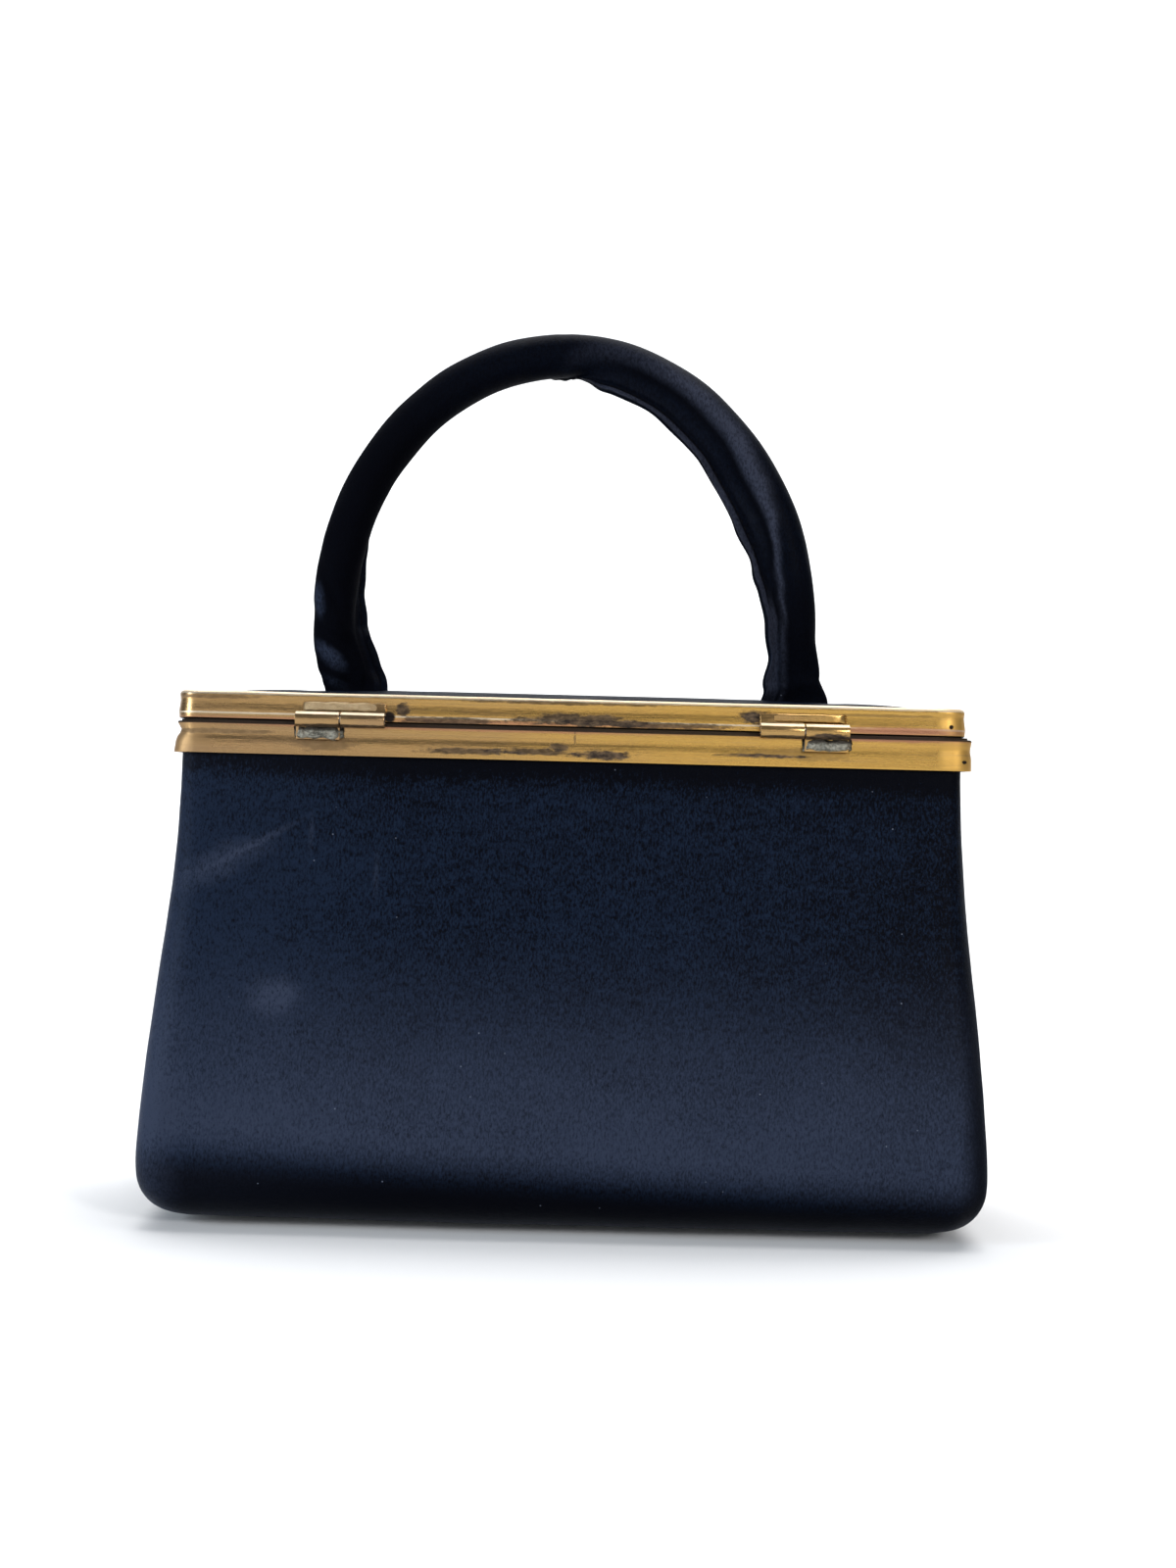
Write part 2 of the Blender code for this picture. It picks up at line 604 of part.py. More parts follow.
def handle_centre_line(extra=0.0):
    """Points of the handle's middle from the left foot over the arch to the right foot, each end
    lengthened by the extra."""
    line = []
    for step in range(-LEG_STEPS, ARCH_STEPS + LEG_STEPS + 1):
        angle = min(max(step / ARCH_STEPS, 0), 1) * math.pi
        below = max(-step, step - ARCH_STEPS, 0) / LEG_STEPS
        x = -HANDLE_HALF_SPAN * math.cos(angle)
        z = HANDLE_SPRING + HANDLE_RISE * math.sin(angle) - HANDLE_LEG_HEIGHT * below
        line.append(Vector((x, 0, z)))
    line[0].z -= extra
    line[-1].z -= extra
    for point in line:
        ease = ease_in(point.z - HANDLE_FOOT - HANDLE_LEG_HEIGHT / LEG_STEPS, HANDLE_LEAN_HEIGHT)
        point.x *= blend(HANDLE_FOOT_OFFSET / HANDLE_HALF_SPAN, 1, ease)
        point.x -= HANDLE_LEAN * ease
    return line


def seam_turn(share):
    """Turn of the seam allowance away from the inside of the arch, at a share of its length."""
    for (start, turn), (end, next_turn) in zip(SEAM_TURN_SHARES, SEAM_TURN_SHARES[1:]):
        if start <= share <= end:
            return blend(turn, next_turn, (share - start) / (end - start)) * math.pi / 2
    return 0.0


def tube_section(radius, sides, seam_width=0.0):
    """Round section, which may carry the flat seam allowance on the side that faces inward."""
    section = []
    half = math.asin(min(SEAM_THICKNESS / 2 / radius, 1)) if seam_width else math.pi / sides
    for step in range(sides):
        angle = blend(half, 2 * math.pi - half, step / (sides - 1))
        section.append((radius * math.cos(angle), radius * math.sin(angle)))
    if seam_width:
        tip = radius + seam_width
        section.append((tip, -SEAM_THICKNESS / 2))
        section.append((tip, SEAM_THICKNESS / 2))
    return section


def add_curve(name, points, closed, dimensions):
    curve = bpy.data.curves.new(name, 'CURVE')
    curve.dimensions = dimensions
    spline = curve.splines.new('POLY')
    spline.points.add(len(points) - 1)
    for target, point in zip(spline.points, points):
        target.co = (*point, 1)
    spline.use_cyclic_u = closed
    carrier = bpy.data.objects.new(name, curve)
    PURSE.objects.link(carrier)
    return carrier


def mesh_part_from_curve(name, carrier, finish):
    """Welded mesh of a curve object, which is then removed."""
    bpy.context.view_layer.update()
    evaluated = carrier.evaluated_get(bpy.context.evaluated_depsgraph_get())
    bm = bmesh.new()
    bm.from_mesh(bpy.data.meshes.new_from_object(evaluated))
    bmesh.ops.remove_doubles(bm, verts=bm.verts, dist=SEAM_THICKNESS / 100)
    bmesh.ops.recalc_face_normals(bm, faces=bm.faces)
    part = add_part(name, bm, finish)
    part.matrix_world = carrier.matrix_world
    bpy.data.objects.remove(carrier)
    return part


def add_tube(name, line, section, finish):
    """Section swept along the handle, turned with the seam and pinched flat near the feet."""
    profile = make_tool(add_curve(name + "_section", [(x, y, 0) for x, y in section], True, '2D'))
    profile.data.fill_mode = 'NONE'
    carrier = add_curve(name + "_line", line, False, '3D')
    carrier.data.bevel_mode = 'OBJECT'
    carrier.data.bevel_object = profile
    carrier.data.use_fill_caps = True
    carrier.data.twist_mode = 'MINIMUM'
    lengths = [0.0]
    for start, end in zip(line, line[1:]):
        lengths.append(lengths[-1] + (end - start).length)
    for point, length in zip(carrier.data.splines[0].points, lengths):
        point.tilt = seam_turn(length / lengths[-1])
    part = mesh_part_from_curve(name, carrier, finish)
    for vert in part.data.vertices:
        vert.co.y *= blend(PINCH_SHARE, 1, ease_in(vert.co.z - HANDLE_FOOT, PINCH_HEIGHT))
    return part


def make_handle():
    """Satin tube with its seam allowance outside, over a cord that ends above the pinched feet."""
    cover = add_tube("handle_cover", handle_centre_line(),
                     tube_section(TUBE_RADIUS, TUBE_SIDES, SEAM_WIDTH), SATIN_FINISH)
    bore_radius = TUBE_RADIUS - TUBE_WALL
    bore = add_tube("handle_bore", handle_centre_line(OVERRUN),
                    tube_section(bore_radius, CORE_SIDES), SATIN_FINISH)
    combine(cover, make_tool(bore), 'DIFFERENCE')
    core_bottom = HANDLE_FOOT + PINCH_HEIGHT + TUBE_RADIUS
    core_line = [point for point in handle_centre_line() if point.z > core_bottom]
    core_radius = bore_radius * math.cos(math.pi / CORE_SIDES) - FIT_GAP
    core = add_tube("handle_core", core_line, tube_section(core_radius, CORE_SIDES), CORE_FINISH)
    return [cover, core]


def make_handle_ends():
    """Flattened ends of the handle: down through the lid's slots, then folded under its board."""
    parts = []
    thin = NECK_THICKNESS / 2
    thick = TUBE_RADIUS * PINCH_SHARE
    outline = [(-thin, TAIL_BOTTOM), (TAIL_REACH, TAIL_BOTTOM),
               (TAIL_REACH, TAIL_BOTTOM + TAIL_THICKNESS), (thin, TAIL_BOTTOM + TAIL_THICKNESS),
               (thin, DOME_TOP + FIT_GAP), (thick, HANDLE_FOOT - FIT_GAP),
               (-thick, HANDLE_FOOT - FIT_GAP), (-thin, DOME_TOP + FIT_GAP)]
    for side, place in ((-1, "left"), (1, "right")):
        flat = add_curve("handle_end_outline", [(x, y, 0) for x, y in outline], True, '2D')
        flat.data.fill_mode = 'BOTH'
        flat.data.extrude = NECK_WIDTH / 2
        flat.location.x = side * NECK_OFFSET
        flat.rotation_euler = (math.pi / 2, 0, math.pi / 2)
        parts.append(mesh_part_from_curve("handle_end_" + place, flat, SATIN_FINISH))
    return parts


clear_scene()
PURSE = new_collection("box_purse")
CUTTERS = new_collection("box_purse_cutters")

make_body_shells()
make_floor_panels()
make_lining_pocket()
make_body_rim()

lid_pivot = add_pivot("lid_pivot", HINGE_AXIS)
clasp_pivot = add_pivot("clasp_pivot", CLASP_AXIS)
handle_pivot = add_pivot("handle_pivot", HANDLE_AXIS)
hang_on(lid_pivot, [clasp_pivot, handle_pivot])

clasp_fixed, clasp_tab = make_clasp()
hang_on(lid_pivot, [make_lid_rim(), *make_lid_panels(), *make_hinges(), *clasp_fixed,
                    *make_handle_ends()])
hang_on(clasp_pivot, [clasp_tab])
hang_on(handle_pivot, make_handle())
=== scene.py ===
import math
from itertools import product

import bmesh
import bpy
from mathutils import Matrix, Vector, noise


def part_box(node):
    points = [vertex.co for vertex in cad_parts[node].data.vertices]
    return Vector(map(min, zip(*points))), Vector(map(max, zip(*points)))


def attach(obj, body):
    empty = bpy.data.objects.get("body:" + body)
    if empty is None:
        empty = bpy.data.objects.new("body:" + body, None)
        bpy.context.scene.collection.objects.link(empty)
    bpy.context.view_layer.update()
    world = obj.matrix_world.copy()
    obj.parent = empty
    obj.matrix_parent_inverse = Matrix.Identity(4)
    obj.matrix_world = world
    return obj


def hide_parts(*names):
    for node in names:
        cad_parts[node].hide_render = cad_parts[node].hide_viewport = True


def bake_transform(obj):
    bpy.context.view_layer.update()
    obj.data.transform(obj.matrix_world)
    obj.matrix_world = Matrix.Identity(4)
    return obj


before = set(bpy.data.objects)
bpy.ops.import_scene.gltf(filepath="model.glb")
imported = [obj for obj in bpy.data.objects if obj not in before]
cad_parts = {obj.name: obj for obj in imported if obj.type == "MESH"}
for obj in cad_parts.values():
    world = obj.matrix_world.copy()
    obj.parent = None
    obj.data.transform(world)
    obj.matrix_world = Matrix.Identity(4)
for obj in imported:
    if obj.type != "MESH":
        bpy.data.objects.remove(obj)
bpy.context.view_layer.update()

scene = bpy.context.scene
bpy.ops.object.select_all(action='DESELECT')


# Studio: a pale sweep of card under and behind the purse, soft lamps round it, and the camera
# where the photograph was taken from, level and tipped a little on its own axis.
CARD_WIDTH = 6.0
CARD_DEPTH = 3.0
CARD_BEND = 0.5
CARD_FRONT = -2.0
CARD_BACK = CARD_FRONT + CARD_DEPTH
CARD_MIDDLE = (0, CARD_FRONT + CARD_DEPTH / 2, 0)
CARD_COLOUR = (0.93, 0.93, 0.93)
CARD_COLOUR_IN_SHADE = (0.12, 0.12, 0.13)
ROOM_COLOUR = (0.20, 0.21, 0.23)
CAMERA_PLACE = (0.0038, -0.507, 0.1013)
CAMERA_ROLL = math.radians(-1.45)
CAMERA_LENS = 48.87
CAMERA_SENSOR = 36.0


class Value:
    """A number that varies over a surface. A sum on it adds Math nodes to its finish."""

    def __init__(self, finish, socket):
        self.finish = finish
        self.socket = socket

    def math(self, operation, first, second):
        return self.finish.node('ShaderNodeMath', {"operation": operation}, {0: first, 1: second})

    def larger(self, other):
        return self.math('MAXIMUM', self, other)

    def __add__(self, other):
        return self.math('ADD', self, other)

    def __sub__(self, other):
        return self.math('SUBTRACT', self, other)

    def __rsub__(self, other):
        return self.math('SUBTRACT', other, self)

    def __mul__(self, other):
        return self.math('MULTIPLY', self, other)

    def __truediv__(self, other):
        return self.math('DIVIDE', self, other)

    def __pow__(self, other):
        return self.math('POWER', self, other)

    __radd__ = __add__
    __rmul__ = __mul__


class Finish:
    """A material in the making. Its node method adds any node: settings first, then sockets."""

    def __init__(self, name, **constants):
        self.material = bpy.data.materials.new(name)
        self.material.use_nodes = True
        self.tree = self.material.node_tree
        self.shader = self.tree.nodes["Principled BSDF"]
        self.set(**constants)
        self.place = self.node('ShaderNodeTexCoord', output="Object")
        self.x, self.y, self.z = (
            self.node('ShaderNodeSeparateXYZ', {}, {0: self.place}, output=axis) for axis in "XYZ")

    def node(self, kind, settings=None, sockets=None, output=0):
        node = self.tree.nodes.new(kind)
        for key, value in (settings or {}).items():
            setattr(node, key, value)
        for key, value in (sockets or {}).items():
            self.fill(node.inputs[key], value)
        return Value(self, node.outputs[output])

    def fill(self, socket, value):
        if isinstance(value, Value):
            self.tree.links.new(value.socket, socket)
        elif socket.type == 'RGBA':
            socket.default_value = (*value, 1)
        else:
            socket.default_value = value

    def set(self, **sockets):
        """Fills the shader's own sockets, each named with _ for a space."""
        for key, value in sockets.items():
            self.fill(self.shader.inputs[key.replace("_", " ")], value)

    def clamp(self, value):
        """A value kept from 0 to 1."""
        return self.node('ShaderNodeClamp', {}, {0: value})

    def mix(self, share, first, second):
        """Colour between two colours."""
        return self.node('ShaderNodeMix', {"data_type": 'RGBA'}, {0: share, 6: first, 7: second}, 2)

    def grain(self, size, stretch=(1, 1, 1), detail=3.0, roughness=0.5, place=None):
        """Soft noise from 0 to 1 whose patches are about the size, stretched along the axes."""
        scaled = self.node('ShaderNodeVectorMath', {"operation": 'MULTIPLY'},
                           {0: place or self.place, 1: [1 / (size * share) for share in stretch]})
        return self.node('ShaderNodeTexNoise', {},
                         {"Vector": scaled, "Scale": 1.0, "Detail": detail, "Roughness": roughness})

    def ramp(self, value, low, high):
        """Smooth step from 0 at low to 1 at high."""
        return self.node('ShaderNodeMapRange', {"interpolation_type": 'SMOOTHSTEP'},
                         {"Value": value, "From Min": low, "From Max": high})

    def patch(self, middle, half_size, wobble, edge=0.5, slope=0.0):
        """Oval mark seen along Y, rising to the right by its slope, broken up by the wobble."""
        across = (self.x - middle[0]) / half_size[0]
        up = (self.z - middle[1] - (self.x - middle[0]) * slope) / half_size[1]
        reach = (across * across + up * up) ** 0.5 + wobble
        return 1 - self.ramp(reach, 1 - edge, 1 + edge)

    def bump(self, height, depth):
        """Normal that follows a height from 0 to 1, which stands for a depth in metres."""
        return self.node('ShaderNodeBump', {},
                         {"Height": height, "Distance": depth, "Strength": 1.0})


def pick(piece, kind, test):
    """In edit mode, selects the verts, edges or faces that pass the test, and no others."""
    bpy.ops.mesh.select_mode(type=kind)
    bpy.ops.mesh.select_all(action='DESELECT')
    mesh = bmesh.from_edit_mesh(piece.data)
    for part in {'VERT': mesh.verts, 'EDGE': mesh.edges, 'FACE': mesh.faces}[kind]:
        part.select_set(bool(test(part)))
    mesh.select_flush_mode()
    bmesh.update_edit_mesh(piece.data)


def level(part, height, tolerance=0.00001):
    """Whether an edge or face lies flat at a height."""
    return all(abs(vert.co.z - height) < tolerance for vert in part.verts)


def begin(name):
    """Names the primitive just added, moves its place into its mesh and opens it for editing."""
    piece = bpy.context.object
    piece.name = piece.data.name = name
    bpy.ops.object.transform_apply()
    bpy.ops.object.mode_set(mode='EDIT')
    return piece


def add_block(name, low, high):
    """Cube primitive between two corners, open for editing."""
    middle = (Vector(low) + Vector(high)) / 2
    bpy.ops.mesh.primitive_cube_add(size=1, location=middle, scale=Vector(high) - Vector(low))
    return begin(name)


def face_outwards():
    """Turns all the faces of the piece in edit mode outwards."""
    bpy.ops.mesh.select_all(action='SELECT')
    bpy.ops.mesh.normals_make_consistent(inside=False)


def end(piece, finish=None, angle=35, **modifiers):
    """Closes a piece after editing, applies its modifiers in order and gives it its finish."""
    bpy.ops.object.mode_set(mode='OBJECT')
    for kind, settings in modifiers.items():
        modifier = piece.modifiers.new(kind, kind)
        for key, value in settings.items():
            setattr(modifier, key, value)
        bpy.ops.object.modifier_apply(modifier=modifier.name)
    bpy.ops.object.shade_smooth_by_angle(angle=math.radians(angle))
    if finish:
        piece.data.materials.clear()
        piece.data.materials.append(finish.material)
    return piece


def smooth_levels(count):
    """Settings of a Subdivision Surface whose view and render agree."""
    return {"levels": count, "render_levels": count}


def add_lamp(name, place, aim, size, power, colour=(1, 1, 1)):
    """Soft box that faces the point it is aimed at."""
    bpy.ops.object.light_add(type='AREA', location=place)
    lamp = bpy.context.object
    lamp.name = name
    lamp.rotation_euler = (Vector(aim) - Vector(place)).to_track_quat('-Z', 'Y').to_euler()
    lamp.data.shape = 'RECTANGLE'
    lamp.data.size, lamp.data.size_y = size
    lamp.data.energy = power
    lamp.data.color = colour


bpy.ops.mesh.primitive_plane_add(size=1, location=CARD_MIDDLE)
card = begin("card_sweep")
bpy.ops.transform.resize(value=(CARD_WIDTH, CARD_DEPTH, 1), center_override=CARD_MIDDLE)
pick(card, 'EDGE', lambda edge: all(vert.co.y > CARD_BACK - CARD_BEND for vert in edge.verts))
bpy.ops.mesh.extrude_edges_move(TRANSFORM_OT_translate={"value": (0, 0, CARD_DEPTH)})
pick(card, 'EDGE', lambda edge: level(edge, 0)
     and all(vert.co.y > CARD_BACK - CARD_BEND for vert in edge.verts))
bpy.ops.mesh.bevel(offset=CARD_BEND, segments=16)
end(card)
card_finish = Finish("pale_card", Roughness=0.9)
seen_by_camera, seen_in_gloss, seen_through = (
    card_finish.node('ShaderNodeLightPath', output=name)
    for name in ("Is Camera Ray", "Is Glossy Ray", "Is Transmission Ray"))
seen = card_finish.clamp(seen_by_camera + seen_in_gloss + seen_through)
card_finish.set(Base_Color=card_finish.mix(seen, CARD_COLOUR_IN_SHADE, CARD_COLOUR))
card.data.materials.append(card_finish.material)

scene.world = bpy.data.worlds.new("studio")
scene.world.use_nodes = True
scene.world.node_tree.nodes["Background"].inputs["Color"].default_value = (*ROOM_COLOUR, 1)

add_lamp("overhead_box", (0.1, 0.25, 1.3), (0, 0, 0.1), (1.3, 0.9), 13)
add_lamp("right_box", (0.85, -1.32, 0.66), (0, 0, 0.12), (0.32, 0.42), 11)
add_lamp("left_box", (-1.25, -0.70, 0.40), (0, 0, 0.08), (0.4, 0.8), 14, (0.80, 0.90, 1.0))
add_lamp("low_front_strip", (-0.5, -1.5, 0.27), (0, 0, 0.08), (1.9, 0.34), 2.75)
add_lamp("back_wash", (0, 0.6, 1.6), (0, 1.2, 0.6), (2.4, 1.0), 22)

bpy.ops.object.camera_add(location=CAMERA_PLACE, rotation=(math.pi / 2, CAMERA_ROLL, 0))
scene.camera = bpy.context.object
scene.camera.data.lens = CAMERA_LENS
scene.camera.data.sensor_width = CAMERA_SENSOR
scene.view_settings.view_transform = 'Standard'


# Satin cover of the body: navy satin glued over a board box. Its top edge is gripped by the
# metal rim, and it widens downwards, rolls under at the bottom and is pasted to the base.
RIM_LOW, RIM_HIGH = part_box("body_rim")
COVER_LOW, COVER_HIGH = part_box("body_cover")
FACE_CROWN = 0.0012
NECK = Vector((RIM_HIGH.x - 0.0013, RIM_HIGH.y - 0.0013))
WIDEST = Vector((COVER_HIGH.x, COVER_HIGH.y - FACE_CROWN))
NECK_RADIUS = 0.0037
WIDEST_RADIUS = 0.0070
SMALLEST_CORNER = 0.0012
FLARE_TOP = RIM_LOW.z - 0.0060
FLARE_BOTTOM = COVER_LOW.z + 0.0155
FLARE_CURVE = 0.05
ROLL_HEIGHT = 0.0120
ROLL_REACH = Vector((0.0090, 0.0130))
SATIN_WALL = 0.0006
RIM_TUCK = 0.0010
FLARE_STEPS = 9
ROLL_STEPS = 7
NAVY_BLACK = (0.0008, 0.0012, 0.0032)
NAVY = (0.0084, 0.0164, 0.0366)
# The pale navy is for worn scuffs and for painted sheen and painted highlights; the two fold
# colours are painted shade and a painted highlight on the handle
NAVY_WORN_AND_SHEEN = (0.0345, 0.0450, 0.0770)
FOLD_PAINTED_SHADE = (0.0013, 0.0014, 0.0027)
FOLD_PAINTED_HIGHLIGHT = (0.0400, 0.0455, 0.0690)
LINT = (0.20, 0.23, 0.30)
# Where the body satin's painted shade, painted sheen and painted light from the left change, from
# the first number to the second: heights, with the roll's rising to the left by its tilt, then
# places across, and the depth where the back ends
BELOW_RIM = (0.092, 0.107)
CLOSE_TO_RIM = (0.0990, 0.1055)
LESS_SHEEN = (0.020, 0.078)
SHEEN_ABOVE_ROLL = (0.0110, 0.0205)
LIT_ABOVE_ROLL = (0.0080, 0.0170)
ROLL_TILT = 0.045
LESS_LEFT_LIGHT = (-0.095, -0.030)
PAST_LEFT_EDGE = (-0.093, -0.082)
DARKER_RIGHT = (0.045, 0.090)
RIGHT_EDGE = (0.0870, 0.0935)
DULL_RIGHT_EDGE = (0.0880, 0.0950)
PAST_BACK = (-0.034, -0.012)
# Marks on the back: middle across and up, half width, half height, slope, strength
BODY_WEAR = ((-0.0790, 0.0812, 0.0085, 0.0032, 0.42, 0.60),
             (-0.0705, 0.0862, 0.0075, 0.0008, 0.55, 0.55),
             (-0.0650, 0.0520, 0.0044, 0.0036, 0.0, 1.0),
             (-0.0583, 0.0887, 0.0006, 0.0035, 0.0, 0.35),
             (-0.0433, 0.0798, 0.0006, 0.0040, 0.0, 0.30))


def body_tones(cloth, shade):
    """The body satin's shade, painted darker under the rim, at the right and on the roll, and the
    share of it painted pale as sheen above the roll and as light from the left, place by place.
    """
    above_roll = cloth.z + cloth.x * ROLL_TILT
    at_back = 1 - cloth.ramp(cloth.y, *PAST_BACK)
    painted_left_light = 1 - cloth.ramp(cloth.x, *LESS_LEFT_LIGHT)
    lit_left_edge = (1 - cloth.ramp(cloth.x, *PAST_LEFT_EDGE)) * at_back
    shaded_right_edge = cloth.ramp(cloth.x, *RIGHT_EDGE) * at_back
    # Painted shade under the rim and towards the right; painted light from the left brightens that
    # side
    shaded = (cloth.ramp(cloth.z, *BELOW_RIM) * 0.20 + cloth.ramp(cloth.z, *CLOSE_TO_RIM) * 0.9
              + cloth.ramp(cloth.x, *DARKER_RIGHT) * 0.42 * at_back)
    shade = (shade + painted_left_light * 0.42 - shaded - shaded_right_edge) * cloth.ramp(above_roll, *LIT_ABOVE_ROLL)
    # Painted sheen: a pale band above the roll, fading upwards, where the satin would catch the
    # light
    painted_highlight = ((1 - cloth.ramp(cloth.z, *LESS_SHEEN)) ** 1.5
              * cloth.ramp(above_roll, *SHEEN_ABOVE_ROLL))
    # The pale share is painted sheen, less at the painted dark right edge, with painted light on
    # the left
    return shade, painted_highlight * (0.78 - shaded_right_edge * 0.7) + painted_left_light * 0.07 + lit_left_edge * 0.46


def satin(name, tone=1.0, gloss=0.030, sheen=0.06, on_body=False, wear_and_highlights=(), creased=False):
    """Navy satin: short upright floats, faint cloudiness, lint, paler worn scuffs, and where asked
    painted shade, painted sheen and painted highlights.
    """
    cloth = Finish(name, Specular_IOR_Level=gloss, Sheen_Weight=sheen, Sheen_Roughness=0.30,
                   Sheen_Tint=(0.55, 0.68, 1.0))
    floats = cloth.grain(0.00054, (0.8, 0.8, 1.8), 4.0, 0.70)
    slubs = cloth.grain(0.0030, (1.6, 1.6, 0.7), 3.0, 0.6)
    clouds = cloth.grain(0.026, (1.3, 1.3, 0.8), 3.0)
    shade = ((floats - 0.5) * 4.4 + (slubs - 0.5) * 0.8 + (clouds - 0.5) * 0.5 + 0.5) * tone
    roughness = 0.34 + floats * 0.14 + clouds * 0.06
    layers = [(shade, NAVY)]
    # On the body the colour takes painted shade and a painted pale sheen
    if on_body:
        shade, painted_highlight = body_tones(cloth, shade)
        painted_highlight = painted_highlight * (1 + (floats - 0.5) * 3.2 + (clouds - 0.5) * 0.7)
        layers = [(shade, NAVY), (painted_highlight, NAVY_WORN_AND_SHEEN)]
        roughness = roughness + cloth.ramp(cloth.x, *DULL_RIGHT_EDGE) * 0.35
    # On the handle the colour takes painted shade from crease_shade and a painted highlight from
    # its second attribute
    if creased:
        creases, pale = (cloth.node('ShaderNodeAttribute', {"attribute_name": mark}, {}, "Fac")
                         for mark in ("crease_shade", "painted_fold_highlight"))
        layers += [(pale * (1 + (floats - 0.5) * 3.5), FOLD_PAINTED_HIGHLIGHT), (creases, FOLD_PAINTED_SHADE)]
        roughness = roughness + creases * 0.45
    # Pale marks on the back: worn scuffs on the body, painted highlights on the handle
    if wear_and_highlights:
        wobble = (cloth.grain(0.004, detail=4.0) - 0.5) * 1.6
        paler = sum((cloth.patch((x, z), (width, height), wobble, 0.85, slope) * strength
                    for x, z, width, height, slope, strength in wear_and_highlights), 0.0)
        on_back = 1 - cloth.ramp(cloth.y, -0.0030, 0.0)
        layers.append((paler * on_back * (0.25 + cloth.ramp(floats, 0.30, 0.62)), NAVY_WORN_AND_SHEEN))
    specks = cloth.node('ShaderNodeTexVoronoi', {"feature": 'F1'},
                        {"Vector": cloth.place, "Scale": 160.0}, "Distance")
    layers.append(((1 - cloth.ramp(specks + floats * 0.01, 0.020, 0.042)) * 0.7, LINT))
    colour = NAVY_BLACK
    for share, tint in layers:
        colour = cloth.mix(cloth.clamp(share), colour, tint)
    cloth.set(Base_Color=colour, Roughness=roughness,
              Normal=cloth.bump(floats + slubs * 0.8, 0.00012))
    return cloth


def flare(height):
    """Share by which the body has widened at a height: 0 under the rim, 1 at the widest."""
    share = min(max((FLARE_TOP - height) / (FLARE_TOP - FLARE_BOTTOM), 0), 1)
    return share - FLARE_CURVE * math.sin(2 * math.pi * share)


def body_ring(height, inset, tuck=0.0):
    """Half sizes, corner radius and height of the body at a height, tucked in for the roll."""
    growth = flare(height)
    half = NECK.lerp(WIDEST, growth)
    reach = ROLL_REACH - Vector((inset, inset))
    corner = NECK_RADIUS + (WIDEST_RADIUS - NECK_RADIUS) * min(1, growth * 4)
    return (half.x - inset - reach.x * tuck, half.y - inset - reach.y * tuck,
            max(corner - inset, SMALLEST_CORNER), height)


def next_ring(piece, ring, new_ring):
    """Extrudes the selected loop and carries each of its rounded corners to the next ring."""
    width, depth, radius, height = ring
    new_width, new_depth, new_radius, new_height = new_ring
    bpy.ops.mesh.extrude_edges_move(TRANSFORM_OT_translate={"value": (0, 0, new_height - height)})
    mesh = bmesh.from_edit_mesh(piece.data)
    loop = {vert.index for vert in mesh.verts if vert.select}
    for side_x, side_y in product((-1, 1), repeat=2):
        pick(piece, 'VERT', lambda vert: vert.index in loop
             and vert.co.x * side_x > 0 and vert.co.y * side_y > 0)
        middle = Vector((side_x * (new_width - new_radius), side_y * (new_depth - new_radius),
                         new_height))
        step = (middle.x - side_x * (width - radius), middle.y - side_y * (depth - radius), 0)
        bpy.ops.transform.translate(value=step)
        bpy.ops.transform.resize(value=(new_radius / radius, new_radius / radius, 1),
                                 center_override=middle)
    pick(piece, 'VERT', lambda vert: vert.index in loop)


def ring_shell(name, rings, corner_segments=6):
    """Open skin through rounded oblong rings, with its last ring filled, left in edit mode."""
    width, depth, radius, height = rings[0]
    bpy.ops.mesh.primitive_plane_add(size=2, location=(0, 0, height))
    piece = begin(name)
    bpy.ops.transform.resize(value=(width, depth, 1), center_override=(0, 0, height))
    bpy.ops.mesh.bevel(offset=radius, segments=corner_segments, affect='VERTICES')
    bpy.ops.mesh.delete(type='ONLY_FACE')
    bpy.ops.mesh.select_all(action='SELECT')
    for ring, new_ring in zip(rings, rings[1:]):
        next_ring(piece, ring, new_ring)
    bpy.ops.mesh.edge_face_add()
    face_outwards()
    return piece


def round_corners(piece, low, high, radius, segments):
    """Rounds the upright edges of a block that stands between two corners."""
    pick(piece, 'EDGE', lambda edge: not level(edge, low.z) and not level(edge, high.z))
    bpy.ops.mesh.bevel(offset=radius, segments=segments)


def extrude(*step):
    """Extrudes the selected faces by a step along X, Y and Z."""
    bpy.ops.mesh.extrude_region_move(TRANSFORM_OT_translate={"value": step})


def slice_across(piece, axis, places):
    """Cuts the whole piece square to an axis at each place."""
    direction = Vector([float(name == axis) for name in "XYZ"])
    for place in places:
        bpy.ops.mesh.select_all(action='SELECT')
        bpy.ops.mesh.bisect(plane_co=direction * place, plane_no=direction)


def spread(reach, count):
    """Evenly spaced places between minus and plus the reach."""
    return [reach * (2 * step / (count - 1) - 1) for step in range(count)]


def ripple(piece, size, height, seed=0.0):
    """Moves each point along its normal by smooth noise, as cloth or thin metal lies uneven."""
    for vert, normal in zip(piece.data.vertices, [v.normal.copy() for v in piece.data.vertices]):
        vert.co += normal * height * noise.noise(vert.co / size + Vector((seed, seed, seed)))


